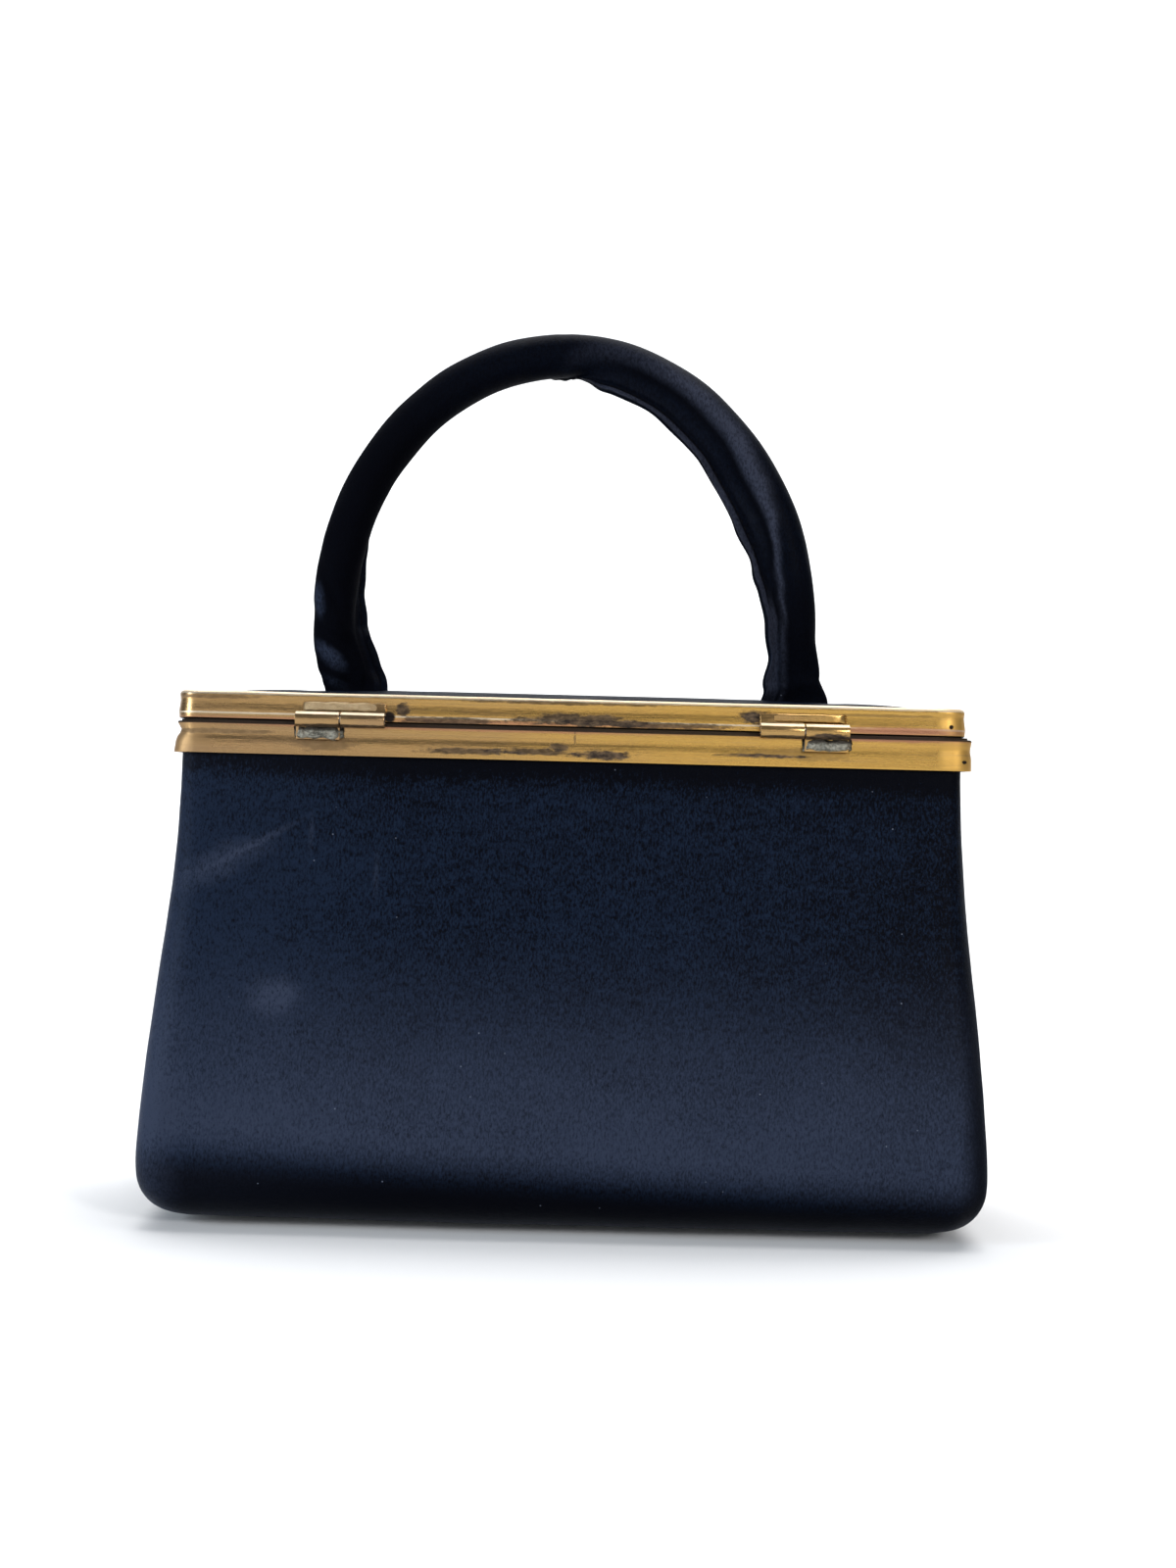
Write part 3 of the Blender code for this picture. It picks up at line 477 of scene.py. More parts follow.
def body_skin(name, inset, floor, crown):
    """Skin of the covered body, a set distance inside the satin, sliced fine enough to swell."""
    heights = [RIM_HIGH.z - RIM_TUCK]
    heights += [FLARE_TOP + (FLARE_BOTTOM - FLARE_TOP) * step / FLARE_STEPS
                for step in range(FLARE_STEPS + 1)]
    rings = [body_ring(height, inset) for height in heights]
    roll_top = COVER_LOW.z + ROLL_HEIGHT
    for step in range(ROLL_STEPS + 1):
        angle = step / ROLL_STEPS * math.pi / 2
        height = roll_top + (floor - roll_top) * math.sin(angle)
        rings.append(body_ring(FLARE_BOTTOM, inset, 1 - math.cos(angle))[:3] + (height,))
    skin = ring_shell(name, rings)
    slice_across(skin, 'X', spread(0.0765, 14))
    slice_across(skin, 'Y', spread(0.0170, 4))
    bpy.ops.object.mode_set(mode='OBJECT')
    flat_half = WIDEST.x - WIDEST_RADIUS
    for vert in skin.data.vertices:
        bow = max(0.0, 1 - (vert.co.x / flat_half) ** 2)
        vert.co.y += math.copysign(crown * flare(vert.co.z) * bow, vert.co.y)
    bpy.ops.object.mode_set(mode='EDIT')
    return skin


body_cover = body_skin("satin_body_cover", 0.0, COVER_LOW.z, FACE_CROWN)
end(body_cover, satin("navy_satin_body", on_body=True, wear_and_highlights=BODY_WEAR), 60,
    SUBSURF=smooth_levels(2))
ripple(body_cover, 0.024, 0.00022)
ripple(body_cover, 0.007, 0.00007, 5.0)
end(body_cover, None, 60, SOLIDIFY={"thickness": SATIN_WALL, "offset": -1})
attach(body_cover, "body")
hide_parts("body_cover")


# Base panel: the stiff oval-cornered pad pasted over the satin's turned-under edges, covered in
# the same navy satin. The purse stands on it.
BASE_LOW, BASE_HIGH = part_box("base_panel")
BASE_EDGE = 0.0004

base_pad = add_block("satin_base_pad", BASE_LOW, BASE_HIGH)
round_corners(base_pad, BASE_LOW, BASE_HIGH, WIDEST_RADIUS, 8)
slice_across(base_pad, 'X', spread(0.066, 12))
slice_across(base_pad, 'Y', spread(0.010, 3))
pick(base_pad, 'EDGE', lambda edge: len(edge.link_faces) == 2 and edge.calc_face_angle(0) > 1)
bpy.ops.mesh.bevel(offset=BASE_EDGE, segments=3)
end(base_pad, satin("navy_satin_base", 0.6, 0.03, 0.02), 40)
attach(base_pad, "body")
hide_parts("base_panel")


# Board shell, floor stiffener and lid board: grey pressed board under the satin, die-cut and
# creased, with flecked pulp. They stay as the frame made them.
PULP = (0.250, 0.228, 0.192)
PULP_DARK = (0.150, 0.132, 0.108)

board = Finish("grey_pressed_board", Specular_IOR_Level=0.2)
pulp = board.grain(0.0012, detail=5.0, roughness=0.7)
board.set(Base_Color=board.mix(board.ramp(pulp, 0.35, 0.70), PULP_DARK, PULP),
          Roughness=0.82 + pulp * 0.12, Normal=board.bump(pulp, 0.0002))
for name in ("body_board", "base_stiffener", "lid_board"):
    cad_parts[name].material_slots[0].material = board.material


# Body lining: thin dark cloth pasted inside the board shell and tucked up under the rim, a
# little loose in the corners.
LINING_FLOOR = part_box("body_lining")[0].z
LINING_INSET = 0.0030
LINING_WALL = 0.0004
LINING_DARK = (0.0100, 0.0100, 0.0150)
LINING_LIGHT = (0.0230, 0.0230, 0.0310)


def lining_cloth(name):
    """Plain-woven dark rayon: a fine even grid of threads with a dull shine."""
    cloth = Finish(name, Specular_IOR_Level=0.25, Sheen_Weight=0.08, Sheen_Roughness=0.4)
    warp = cloth.grain(0.0006, (0.4, 0.4, 5.0), 1.0)
    weft = cloth.grain(0.0006, (5.0, 5.0, 0.4), 1.0)
    creases = cloth.grain(0.022, (1, 1, 2.2), 3.0)
    weave = warp * 0.5 + weft * 0.5
    cloth.set(Base_Color=cloth.mix(weave * 0.7 + creases * 0.3, LINING_DARK, LINING_LIGHT),
              Roughness=0.55 + weave * 0.25, Normal=cloth.bump(weave, 0.00008))
    return cloth


lining_finish = lining_cloth("dark_lining_cloth")
body_lining = body_skin("body_lining_cloth", LINING_INSET, LINING_FLOOR, FACE_CROWN)
end(body_lining, lining_finish, 60, SUBSURF=smooth_levels(1))
ripple(body_lining, 0.018, 0.00018, 3.0)
end(body_lining, None, 60, SOLIDIFY={"thickness": LINING_WALL, "offset": -1})
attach(body_lining, "body")
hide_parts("body_lining")


# Slip pocket: a flat double panel of the lining cloth sewn to the lining inside the front, its
# top edge turned over as a hem and left open, so that it gapes a little.
POCKET_LOW, POCKET_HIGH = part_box("lining_pocket")
POCKET_WALL = 0.0005
HEM_DEPTH = 0.0060
HEM_WALL = 0.0003
POCKET_SLACK = 0.0006
POCKET_BEHIND = LINING_INSET + LINING_WALL + 0.0004
POCKET_FOLD = 0.0060


def wall_place(height, inset):
    """Y of the inner front wall, a set distance inside the satin."""
    return body_ring(height, inset)[1]


pocket_bottom = wall_place(POCKET_LOW.z, POCKET_BEHIND)
pocket_top = wall_place(POCKET_HIGH.z, POCKET_BEHIND)
pocket = add_block("lining_slip_pocket", (POCKET_LOW.x, -POCKET_WALL, POCKET_LOW.z),
                   (POCKET_HIGH.x, 0, POCKET_HIGH.z))
slice_across(pocket, 'X', spread(POCKET_HIGH.x * 0.94, 15))
slice_across(pocket, 'Z', [POCKET_LOW.z + POCKET_FOLD * step for step in range(1, 7)])
slice_across(pocket, 'Z', [POCKET_HIGH.z - HEM_DEPTH, POCKET_HIGH.z - 0.0006])
pick(pocket, 'FACE', lambda face: face.normal.y < -0.9
     and face.calc_center_median().z > POCKET_HIGH.z - HEM_DEPTH)
extrude(0, -HEM_WALL, 0)
bpy.ops.object.mode_set(mode='OBJECT')
for vert in pocket.data.vertices:
    rise = (vert.co.z - POCKET_LOW.z) / (POCKET_HIGH.z - POCKET_LOW.z)
    gape = POCKET_SLACK * rise ** 3 * math.cos(vert.co.x / POCKET_HIGH.x * math.pi / 2)
    vert.co.y += pocket_bottom + (pocket_top - pocket_bottom) * rise - max(gape, 0)
end(pocket, lining_finish, 50, BEVEL={"width": 0.00012, "segments": 2},
    SUBSURF=smooth_levels(1))
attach(pocket, "body")
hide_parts("lining_pocket")


# Body rim: a downturned channel of thin gold-plated brass, rolled over at its outer edge and
# pressed down over the edges of the board, satin and lining. Its plating is worn and stained.
SHEET_WALL = 0.00045
RIM_CORNER = 0.0050
RIM_EDGE = 0.0012
RIM_FACING_EDGE = 0.0004
RIM_TOP_WIDTH = 0.0057
LIP_SET_BACK = 0.0010
LIP_RISE = 0.00042
GOLD = (0.505, 0.298, 0.075)
GOLD_BROWN = (0.300, 0.190, 0.098)
GOLD_COPPER = (0.380, 0.180, 0.100)
GOLD_HIGHLIGHT = (0.600, 0.520, 0.400)
TARNISH = (0.050, 0.034, 0.024)
SMUT = (0.012, 0.007, 0.005)
END_START = 0.0700
END_LENGTH = 0.0150
BODY_RIM_PULL = 0.0009
# The left corner of the body's rim is bent at the back: where it starts along the rim, and how far
# it stands out below one height, more and more over a fall, and in round another
CORNER_START = 0.0820
CORNER_LENGTH = 0.0060
BEND_OUT, BEND_BELOW, BEND_FALL = 0.0006, 0.1112, 0.0049
PINCH_IN, PINCH_HEIGHT, PINCH_HALF = 0.0007, 0.1115, 0.0011
# Marks on the body's rim: middle across and up, half width, half height, strength
BODY_BANDS = ((0.0660, 0.1131, 0.0230, 0.0007, 1.0), (-0.0250, 0.1130, 0.0500, 0.0005, 0.8))
BODY_STAINS = ((-0.0234, 0.1080, 0.0107, 0.0007, 0.85), (-0.0029, 0.1093, 0.0022, 0.0009, 0.9),
               (-0.0088, 0.1082, 0.0088, 0.0008, 0.9), (0.0065, 0.1078, 0.0066, 0.0010, 1.0),
               (0.0425, 0.1086, 0.0107, 0.0004, 0.7), (0.0006, 0.1114, 0.0003, 0.0013, 0.6),
               (-0.0560, 0.1088, 0.0070, 0.0014, 0.45), (0.0520, 0.1092, 0.0120, 0.0014, 0.40),
               (-0.0800, 0.1112, 0.0120, 0.0005, 0.5))
BODY_SMUTS = ((0.0887, 0.1083, 0.0006, 0.0004, 1.0),)
RIGHT_MATT = (0.0820, 0.0865)
LEFT_MATT = (-0.0800, -0.0870)


def worn_gold(name, left_end, right_end, painted_highlight=(), bands=(), stain_and_shade_rows=(), smuts=(), gap=None,
              matt=()):
    """Thin gold plate: browner at the left end, yellow at the right, drawn lengthways, and stained.

    Bands show the copper under the plate, the stain rows its tarnish, and on the hinges painted
    shade and painted dark reflections, and smuts are black. Their rows are marks on the back. A
    pale highlight is painted round each height listed for it, with its half height, where the plate
    is also scratched dull; the plate is painted black as shade between the two heights of the gap,
    and scratched dull between the places of matt."""
    gold = Finish(name, Metallic=1.0)
    drawn = gold.grain(0.00030, (60, 60, 1), 3.0, 0.6)
    streaks = gold.grain(0.00055, (45, 45, 1), 4.0, 0.7)
    cloud = gold.grain(0.009, (2.5, 1, 0.8), 4.0, 0.6)
    fine = gold.grain(0.0010, (2.2, 1, 1), 4.0, 0.7)
    wobble = ((gold.grain(0.0022, (2.6, 1, 0.7), 5.0, 0.65) - 0.5) * 1.6
              + (gold.grain(0.0008, (2.4, 1, 0.8), 4.0, 0.7) - 0.5) * 1.6)
    back = 1 - gold.ramp(gold.y, -0.025, -0.020)

    def marks(rows, edge, wander):
        return gold.clamp(back * sum(
            (gold.patch((x, z), (half_width, half_height), wobble * wander, edge) * strength
             for x, z, half_width, half_height, strength in rows), 0.0))

    aged = 1 - gold.ramp(gold.x + (cloud - 0.5) * 0.12, left_end, right_end)
    colour = gold.mix(aged * (0.60 + cloud * 0.55), GOLD, GOLD_BROWN)
    colour = gold.mix(gold.ramp(streaks, 0.50, 0.78) * 0.55, colour, GOLD_BROWN)
    scratched = sum((gold.ramp(gold.x, *places) for places in matt), 0.0) * 0.26
    # Painted highlights: pale lines along the edges where light would catch them, also scratched
    # dull
    for height, half_height in painted_highlight:
        line = 1 - gold.ramp(((gold.z - height) / half_height) ** 2 + (fine - 0.5), 0.4, 1.0)
        colour = gold.mix(line * 0.7, colour, GOLD_HIGHLIGHT)
        scratched = scratched + line * 0.22
    if bands:
        colour = gold.mix(marks(bands, 0.5, 0.4), colour, GOLD_COPPER)
    # Stains, with painted shade and dark reflections where the hinges give rows for them
    stain_and_shade = gold.ramp(cloud * 0.55 + fine * 0.25 + streaks * 0.2, 0.56, 0.72) * 0.40
    if stain_and_shade_rows:
        stain_and_shade = stain_and_shade.larger(marks(stain_and_shade_rows, 0.28, 1.0))
    tarnish = gold.mix(fine * 0.7, TARNISH, GOLD_BROWN)
    colour = gold.mix(stain_and_shade, colour, gold.mix(gold.ramp(fine, 0.30, 0.75), SMUT, tarnish))
    black = gold.ramp(gold.grain(0.0016, (1, 1, 1), 6.0, 0.8), 0.72, 0.75) * 0.8
    # Painted shade: black where the rim lies in the gap between lid and body
    if gap:
        low, high = gap
        above_low = gold.ramp(gold.z, low - 0.0002, low + 0.0001)
        black = black.larger(
            above_low * (1 - gold.ramp(gold.z, high - 0.0001, high + 0.0001)) * 0.96)
    if smuts:
        black = black.larger(marks(smuts, 0.2, 0.5))
    gold.set(Base_Color=gold.mix(black, colour, SMUT),
             Roughness=0.17 + drawn * 0.08 + cloud * 0.10 + stain_and_shade * 0.25 + black * 0.3 + scratched,
             Metallic=1 - stain_and_shade * 0.35 - black * 0.3,
             Normal=gold.bump(drawn * 0.25 + fine * 0.35 + cloud * 1.2, 0.00010))
    return gold


def ease(value, start=0.0, length=1.0):
    """Smooth step from 0 at the start to 1 a length past it."""
    share = min(max((value - start) / length, 0.0), 1.0)
    return share * share * (3 - 2 * share)


def slice_rim(piece, heights):
    """Cuts a rim's long walls and its ends short enough to lie a little uneven."""
    slice_across(piece, 'X', spread(0.0820, 24))
    slice_across(piece, 'Y', spread(0.0190, 6))
    slice_across(piece, 'Z', heights)


def press_rim(piece, heights, seed):
    """Dents a rim's outer wall in or out at each (height, half height, depth), and ripples it."""
    piece.data.update()
    normals = [vert.normal.copy() for vert in piece.data.vertices]
    for vert, normal in zip(piece.data.vertices, normals):
        if normal.x * vert.co.x + normal.y * vert.co.y > 0:
            vert.co += Vector((normal.x, normal.y, 0)) * sum(
                depth * math.exp(-((vert.co.z - height) / half) ** 2)
                for height, half, depth in heights)
    ripple(piece, 0.011, 0.00009, seed)


def pull_end(piece, side, pull):
    """Draws one end of a rim out along X, or in, over its last stretch."""
    for vert in piece.data.vertices:
        vert.co.x += side * pull * ease(side * vert.co.x, END_START, END_LENGTH)


def metal_edges(width, angle):
    """Modifiers that round a metal piece's edges above an angle and keep its faces flat."""
    return {"BEVEL": {"width": width, "segments": 2, "angle_limit": math.radians(angle)},
            "WEIGHTED_NORMAL": {"keep_sharp": True}}


body_rim = add_block("gold_body_rim", RIM_LOW, RIM_HIGH)
round_corners(body_rim, RIM_LOW, RIM_HIGH, RIM_CORNER, 10)
pick(body_rim, 'EDGE', lambda edge: level(edge, RIM_HIGH.z))
bpy.ops.mesh.bevel(offset=RIM_FACING_EDGE, segments=5)
pick(body_rim, 'FACE', lambda face: level(face, RIM_HIGH.z))
bpy.ops.mesh.inset(thickness=LIP_SET_BACK - RIM_FACING_EDGE)
extrude(0, 0, LIP_RISE)
bpy.ops.mesh.inset(thickness=RIM_TOP_WIDTH - LIP_SET_BACK)
extrude(0, 0, RIM_LOW.z - RIM_HIGH.z - LIP_RISE)
pick(body_rim, 'FACE', lambda face: level(face, RIM_LOW.z))
bpy.ops.mesh.delete(type='FACE')
slice_rim(body_rim, [RIM_LOW.z + step
                     for step in (0.0006, 0.0014, 0.0026, 0.0036, 0.0044, 0.0052)])
bpy.ops.object.mode_set(mode='OBJECT')
press_rim(body_rim, [(RIM_LOW.z + 0.0046, 0.0012, -0.00034), (RIM_LOW.z, 0.0007, 0.00004)], 1.0)
pull_end(body_rim, 1, BODY_RIM_PULL)
for vert in body_rim.data.vertices:
    if vert.co.y < 0 and vert.co.x < -RIM_HIGH.x + RIM_TOP_WIDTH / 2:
        at_corner = min(1, max(0.0, (-CORNER_START - vert.co.x) / CORNER_LENGTH))
        bent = BEND_OUT * max(0.0, (BEND_BELOW - vert.co.z) / BEND_FALL)
        pinched = PINCH_IN * math.exp(-((vert.co.z - PINCH_HEIGHT) / PINCH_HALF) ** 2)
        vert.co.x -= at_corner * (bent - pinched)
# The body rim's top lip is painted black as shade in the gap under the lid
body_gold = worn_gold("worn_gold_body_rim", -0.075, 0.045, bands=BODY_BANDS, stain_and_shade_rows=BODY_STAINS,
                      smuts=BODY_SMUTS, gap=(RIM_HIGH.z - 0.0004, RIM_HIGH.z + 0.0020),
                      matt=(RIGHT_MATT, LEFT_MATT))
end(body_rim, body_gold, 30, SOLIDIFY={"thickness": SHEET_WALL, "offset": -1},
    **metal_edges(0.00012, 50))
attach(body_rim, "body")
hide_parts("body_rim")


# Lid rim: a second brass channel a shade smaller, open towards the middle, whose two flanges
# grip the lid's lining, board and padded cover. Its bottom edge is rolled in above the gap.
LID_LOW, LID_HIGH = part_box("lid_rim")
LID_FLANGE_REACH = 0.0034
LID_RIM_PULL_RIGHT = 0.0004
LID_RIM_PULL_LEFT = 0.0008
# Marks on the lid's rim: middle across and up, half width, half height, strength
LID_BANDS = ((0.0740, 0.1149, 0.0150, 0.0009, 1.0), (-0.0100, 0.1146, 0.0400, 0.0005, 0.8),
             (-0.0700, 0.1143, 0.0220, 0.0004, 0.7))
LID_STAINS = ((-0.0280, 0.1148, 0.0102, 0.0008, 0.85), (0.0005, 0.1157, 0.0133, 0.0013, 0.95),
              (0.0419, 0.1173, 0.0043, 0.0015, 1.0), (-0.0384, 0.1171, 0.0015, 0.0014, 0.95),
              (-0.0015, 0.1194, 0.0215, 0.0004, 0.75), (0.0180, 0.1150, 0.0200, 0.0007, 0.85),
              (-0.0800, 0.1190, 0.0090, 0.0004, 0.6), (0.0700, 0.1184, 0.0140, 0.0003, 0.45))
LID_SMUTS = ((-0.0415, 0.1152, 0.0014, 0.0013, 1.0), (0.0856, 0.1162, 0.0005, 0.0005, 1.0))

lid_rim = add_block("gold_lid_rim", LID_LOW, LID_HIGH)
round_corners(lid_rim, LID_LOW, LID_HIGH, RIM_CORNER, 10)
for height, edge_radius in ((LID_LOW.z, RIM_FACING_EDGE), (LID_HIGH.z, RIM_EDGE)):
    pick(lid_rim, 'EDGE', lambda edge: level(edge, height))
    bpy.ops.mesh.bevel(offset=edge_radius, segments=6)
    pick(lid_rim, 'FACE', lambda face: level(face, height))
    bpy.ops.mesh.inset(thickness=LID_FLANGE_REACH - edge_radius)
    bpy.ops.mesh.delete(type='FACE')
slice_rim(lid_rim, [LID_LOW.z + step for step in (0.0016, 0.0024, 0.0034, 0.0042, 0.0048)])
bpy.ops.object.mode_set(mode='OBJECT')
press_rim(lid_rim, [(LID_HIGH.z - 0.0022, 0.0011, -0.00024),
                    (LID_LOW.z + 0.0016, 0.0005, 0.00010)], 2.0)
pull_end(lid_rim, 1, LID_RIM_PULL_RIGHT)
pull_end(lid_rim, -1, LID_RIM_PULL_LEFT)
# The lid rim has painted highlights along its top and bottom edges, and is painted black as shade
# at its bottom edge by the gap
lid_gold = worn_gold("worn_gold_lid_rim", -0.105, 0.030,
                     painted_highlight=((LID_HIGH.z - 0.0003, 0.0006), (LID_LOW.z + 0.0014, 0.00025)),
                     bands=LID_BANDS, stain_and_shade_rows=LID_STAINS, smuts=LID_SMUTS,
                     gap=(LID_LOW.z - 0.0010, LID_LOW.z + 0.0002), matt=(RIGHT_MATT,))
end(lid_rim, lid_gold, 30, SOLIDIFY={"thickness": SHEET_WALL, "offset": -1},
    **metal_edges(0.00010, 50))
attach(lid_rim, "lid")
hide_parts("lid_rim")


# Hinges: each leaf is a strip of gold-plated brass with one end rolled round a steel pin and its
# flat end soldered to a rim. The outer halves are the body's, the inner halves the lid's.
LEAF_WALL = 0.0008
LEAF_EDGE = 0.00014
KNUCKLE_RADIUS = 0.00175
LOWER_TURN = math.radians(325)
UPPER_TURN = math.radians(285)
PIN_LOW, PIN_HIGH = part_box("hinge_pin_left")
HINGE_AXIS = Vector((0, (PIN_LOW.y + PIN_HIGH.y) / 2, (PIN_LOW.z + PIN_HIGH.z) / 2))
STEEL = (0.42, 0.40, 0.37)
RUST = (0.16, 0.08, 0.04)
SOLDER = (0.330, 0.315, 0.260)
SOLDER_DULL = (0.075, 0.072, 0.058)
SOLDER_PALE = (0.420, 0.315, 0.185)
SOLDER_PALE_DULL = (0.320, 0.225, 0.120)
# Painted shade and dark reflections on the leaves: middle across, height over the pin, half width,
# half height, strength
LEAF_SHADE_MARKS = ((-0.0523, -0.0014, 0.0110, 0.0004, 0.85), (-0.0523, 0.0006, 0.0110, 0.0002, 0.6),
               (0.0523, -0.0014, 0.0110, 0.0004, 0.85), (0.0523, 0.0006, 0.0110, 0.0002, 0.5),
               (0.0580, -0.0010, 0.0046, 0.0006, 1.0))

fitting_gold = worn_gold("worn_gold_fittings", -0.060, 0.080)
# The hinges have a painted highlight along the top of the knuckles, and painted shade and dark
# reflections below
leaf_gold = worn_gold("worn_gold_hinges", 0.000, 0.120, painted_highlight=((HINGE_AXIS.z + 0.0014, 0.0004),),
                      stain_and_shade_rows=[(x, HINGE_AXIS.z + height, *sizes)
                              for x, height, *sizes in LEAF_SHADE_MARKS])

steel = Finish("drawn_steel_pin", Metallic=1.0)
draw_lines = steel.grain(0.0002, (40, 1, 1), 2.0)
rust = steel.ramp(steel.grain(0.0012, detail=5.0), 0.52, 0.66)
steel.set(Base_Color=steel.mix(rust * 0.6, STEEL, RUST),
          Roughness=0.28 + draw_lines * 0.15 + rust * 0.25,
          Metallic=1 - rust * 0.4, Normal=steel.bump(draw_lines, 0.00002))
for name in ("hinge_pin_left", "hinge_pin_right", "clasp_pin"):
    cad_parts[name].material_slots[0].material = steel.material


def solder_metal(name, dull, bright, shaded_above=None):
    """Tin solder that has run and set: frosted, lumpy, half tarnished, and painted dark above a
    height as shadow.
    """
    tin = Finish(name, Metallic=0.9)
    frost = tin.grain(0.0005, (1.6, 1, 1), 5.0, 0.75)
    puddle = tin.grain(0.0020, (2, 1, 1), 3.0)
    colour = tin.mix(tin.ramp(frost * 0.6 + puddle * 0.4, 0.38, 0.60), dull, bright)
    # Painted shadow: darker above the height, where the knuckle shades the solder
    if shaded_above:
        painted_shadow = tin.ramp(tin.z + (puddle - 0.5) * 0.0012, shaded_above - 0.0003, shaded_above + 0.0005)
        colour = tin.mix(painted_shadow * 0.85, colour, SMUT)
    tin.set(Base_Color=colour, Roughness=0.28 + frost * 0.35,
            Normal=tin.bump(frost + puddle * 1.5, 0.00030))
    return tin


# The grey solder is painted dark at its top as shadow under the knuckle
solder = solder_metal("grey_solder", SOLDER_DULL, SOLDER, HINGE_AXIS.z - 0.0026)
pale_solder = solder_metal("pale_wiped_solder", SOLDER_PALE_DULL, SOLDER_PALE)


def roll_knuckle(piece, turn):
    """Rolls the selected end of a leaf over the pin towards the back, and down under it."""
    bpy.ops.mesh.spin(steps=22, angle=-turn, center=HINGE_AXIS, axis=(1, 0, 0))
    face_outwards()
    end(piece, leaf_gold, 30, **metal_edges(LEAF_EDGE, 40))


def solder_joint(name, low, high, body, lump, finish, lean=0.0):
    """Run of solder over a leaf's flat end, feathered out on to the rim that it is fixed to. The
    lean thins it towards its top, and the lump is how uneven it is."""
    run = add_block(name, low, high)
    for axis, start, stop, cuts in (('X', low[0], high[0], 12), ('Z', low[2], high[2], 4)):
        slice_across(run, axis, [start + (stop - start) * step / cuts for step in range(1, cuts)])
    end(run, finish, 80, SUBSURF=smooth_levels(2))
    width, height = (high[0] - low[0]) / 2, (high[2] - low[2]) / 2
    for vert in run.data.vertices:
        across = (vert.co.x - low[0]) / width - 1
        up = (vert.co.z - low[2]) / height - 1
        swell = max(0.0, 1 - across ** 8) * max(0.0, 1 - up ** 8)
        rough = noise.noise(vert.co / 0.0016) + 0.5 * noise.noise(vert.co / 0.0007)
        if vert.co.y < (low[1] + high[1]) / 2:
            thick = (1 - lean * (1 + up) / 2) * swell
            vert.co.y = high[1] - (high[1] - low[1]) * thick - lump * rough * thick
        vert.co.z += 1.5 * lump * noise.noise(Vector((vert.co.x / 0.0022, up, 7.0))) * abs(up)
        vert.co.x += lump * noise.noise(Vector((across, vert.co.z / 0.0012, 3.0))) * abs(across)
    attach(run, body)


for side in ("left", "right"):
    low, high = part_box("hinge_lower_leaf_" + side)
    back = high.y
    lower_leaf = add_block("hinge_lower_leaf_rolled_" + side, (low.x, back - LEAF_WALL, low.z),
                           (high.x, back, HINGE_AXIS.z))
    pick(lower_leaf, 'FACE', lambda face: level(face, HINGE_AXIS.z))
    roll_knuckle(lower_leaf, LOWER_TURN)
    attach(lower_leaf, "body")
    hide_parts("hinge_lower_leaf_" + side)
    solder_joint("solder_lower_" + side,
                 (low.x - 0.0005, back - LEAF_WALL - 0.0006, low.z + 0.0001),
                 (high.x + 0.0009, RIM_LOW.y + 0.0002, HINGE_AXIS.z - 0.0013), "body", 0.0005,
                 solder, 0.20)

    low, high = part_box("hinge_upper_leaf_" + side)
    back = high.y
    roof = HINGE_AXIS.z + KNUCKLE_RADIUS
    upper_leaf = add_block("hinge_upper_leaf_rolled_" + side,
                           (low.x, HINGE_AXIS.y, roof - LEAF_WALL), (high.x, back, roof))
    slice_across(upper_leaf, 'Y', [back - LEAF_WALL])
    pick(upper_leaf, 'FACE', lambda face: level(face, roof)
         and face.calc_center_median().y > back - LEAF_WALL)
    extrude(0, 0, high.z - roof)
    pick(upper_leaf, 'FACE', lambda face: face.normal.y < -0.9
         and abs(face.calc_center_median().y - HINGE_AXIS.y) < 0.0001)
    roll_knuckle(upper_leaf, UPPER_TURN)
    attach(upper_leaf, "lid")
    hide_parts("hinge_upper_leaf_" + side)
    other_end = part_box("hinge_lower_leaf_" + side)
    solder_joint("solder_upper_" + side,
                 (min(low.x, other_end[0].x) + 0.0012, back - LEAF_WALL - 0.0002, roof + 0.0001),
                 (max(high.x, other_end[1].x) - 0.0002, LID_LOW.y + 0.0002, high.z + 0.0002), "lid",
                 0.00015 if side == "left" else 0.00005,
                 pale_solder if side == "left" else leaf_gold)


# Lid lining: dark cloth stretched over a thin card inside the lid, seen when the purse is open.
# The rim's lower flange holds its edge.
SHEET_LOW, SHEET_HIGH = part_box("lid_lining")

lid_lining = add_block("lid_lining_cloth", SHEET_LOW, SHEET_HIGH)
round_corners(lid_lining, SHEET_LOW, SHEET_HIGH, NECK_RADIUS, 5)
slice_across(lid_lining, 'X', spread(0.0830, 22))
slice_across(lid_lining, 'Y', spread(0.0200, 6))
end(lid_lining, lining_finish, 50)
for vert in lid_lining.data.vertices:
    reach = max(abs(vert.co.x) / SHEET_HIGH.x, abs(vert.co.y) / SHEET_HIGH.y)
    vert.co.z += 0.00009 * noise.noise(vert.co / 0.012) * max(0, 1 - reach)
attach(lid_lining, "lid")
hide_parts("lid_lining")


# Lid cushion: navy satin drawn over a layer of wadding on the lid's board, held down by the rim
# all round and sewn down round the two slots that take the handle. The wadding bulges it.
PAD_LOW, PAD_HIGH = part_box("lid_cover")
PAD_FLOOR = PAD_LOW.z
PAD_EDGE = LID_HIGH.z - 0.0009
PAD_CROWN = PAD_HIGH.z - PAD_EDGE
PAD_CORNER = 0.0037
CROWN_POWER_ACROSS = 2.6
CROWN_POWER_ALONG = 7
SLOT_MIDDLE = 0.0519
SLOT_HALF = Vector((0.0079, 0.0009))
SLOT_DIP = 0.0011
SLOT_PULL = 0.0030
PAD_PRESSURE = 2.0
PAD_GIVE = 0.0003
PAD_FRAMES = 20
PAD_MASS = 0.1
PAD_QUALITY = 6
PAD_SHRINK = -0.03

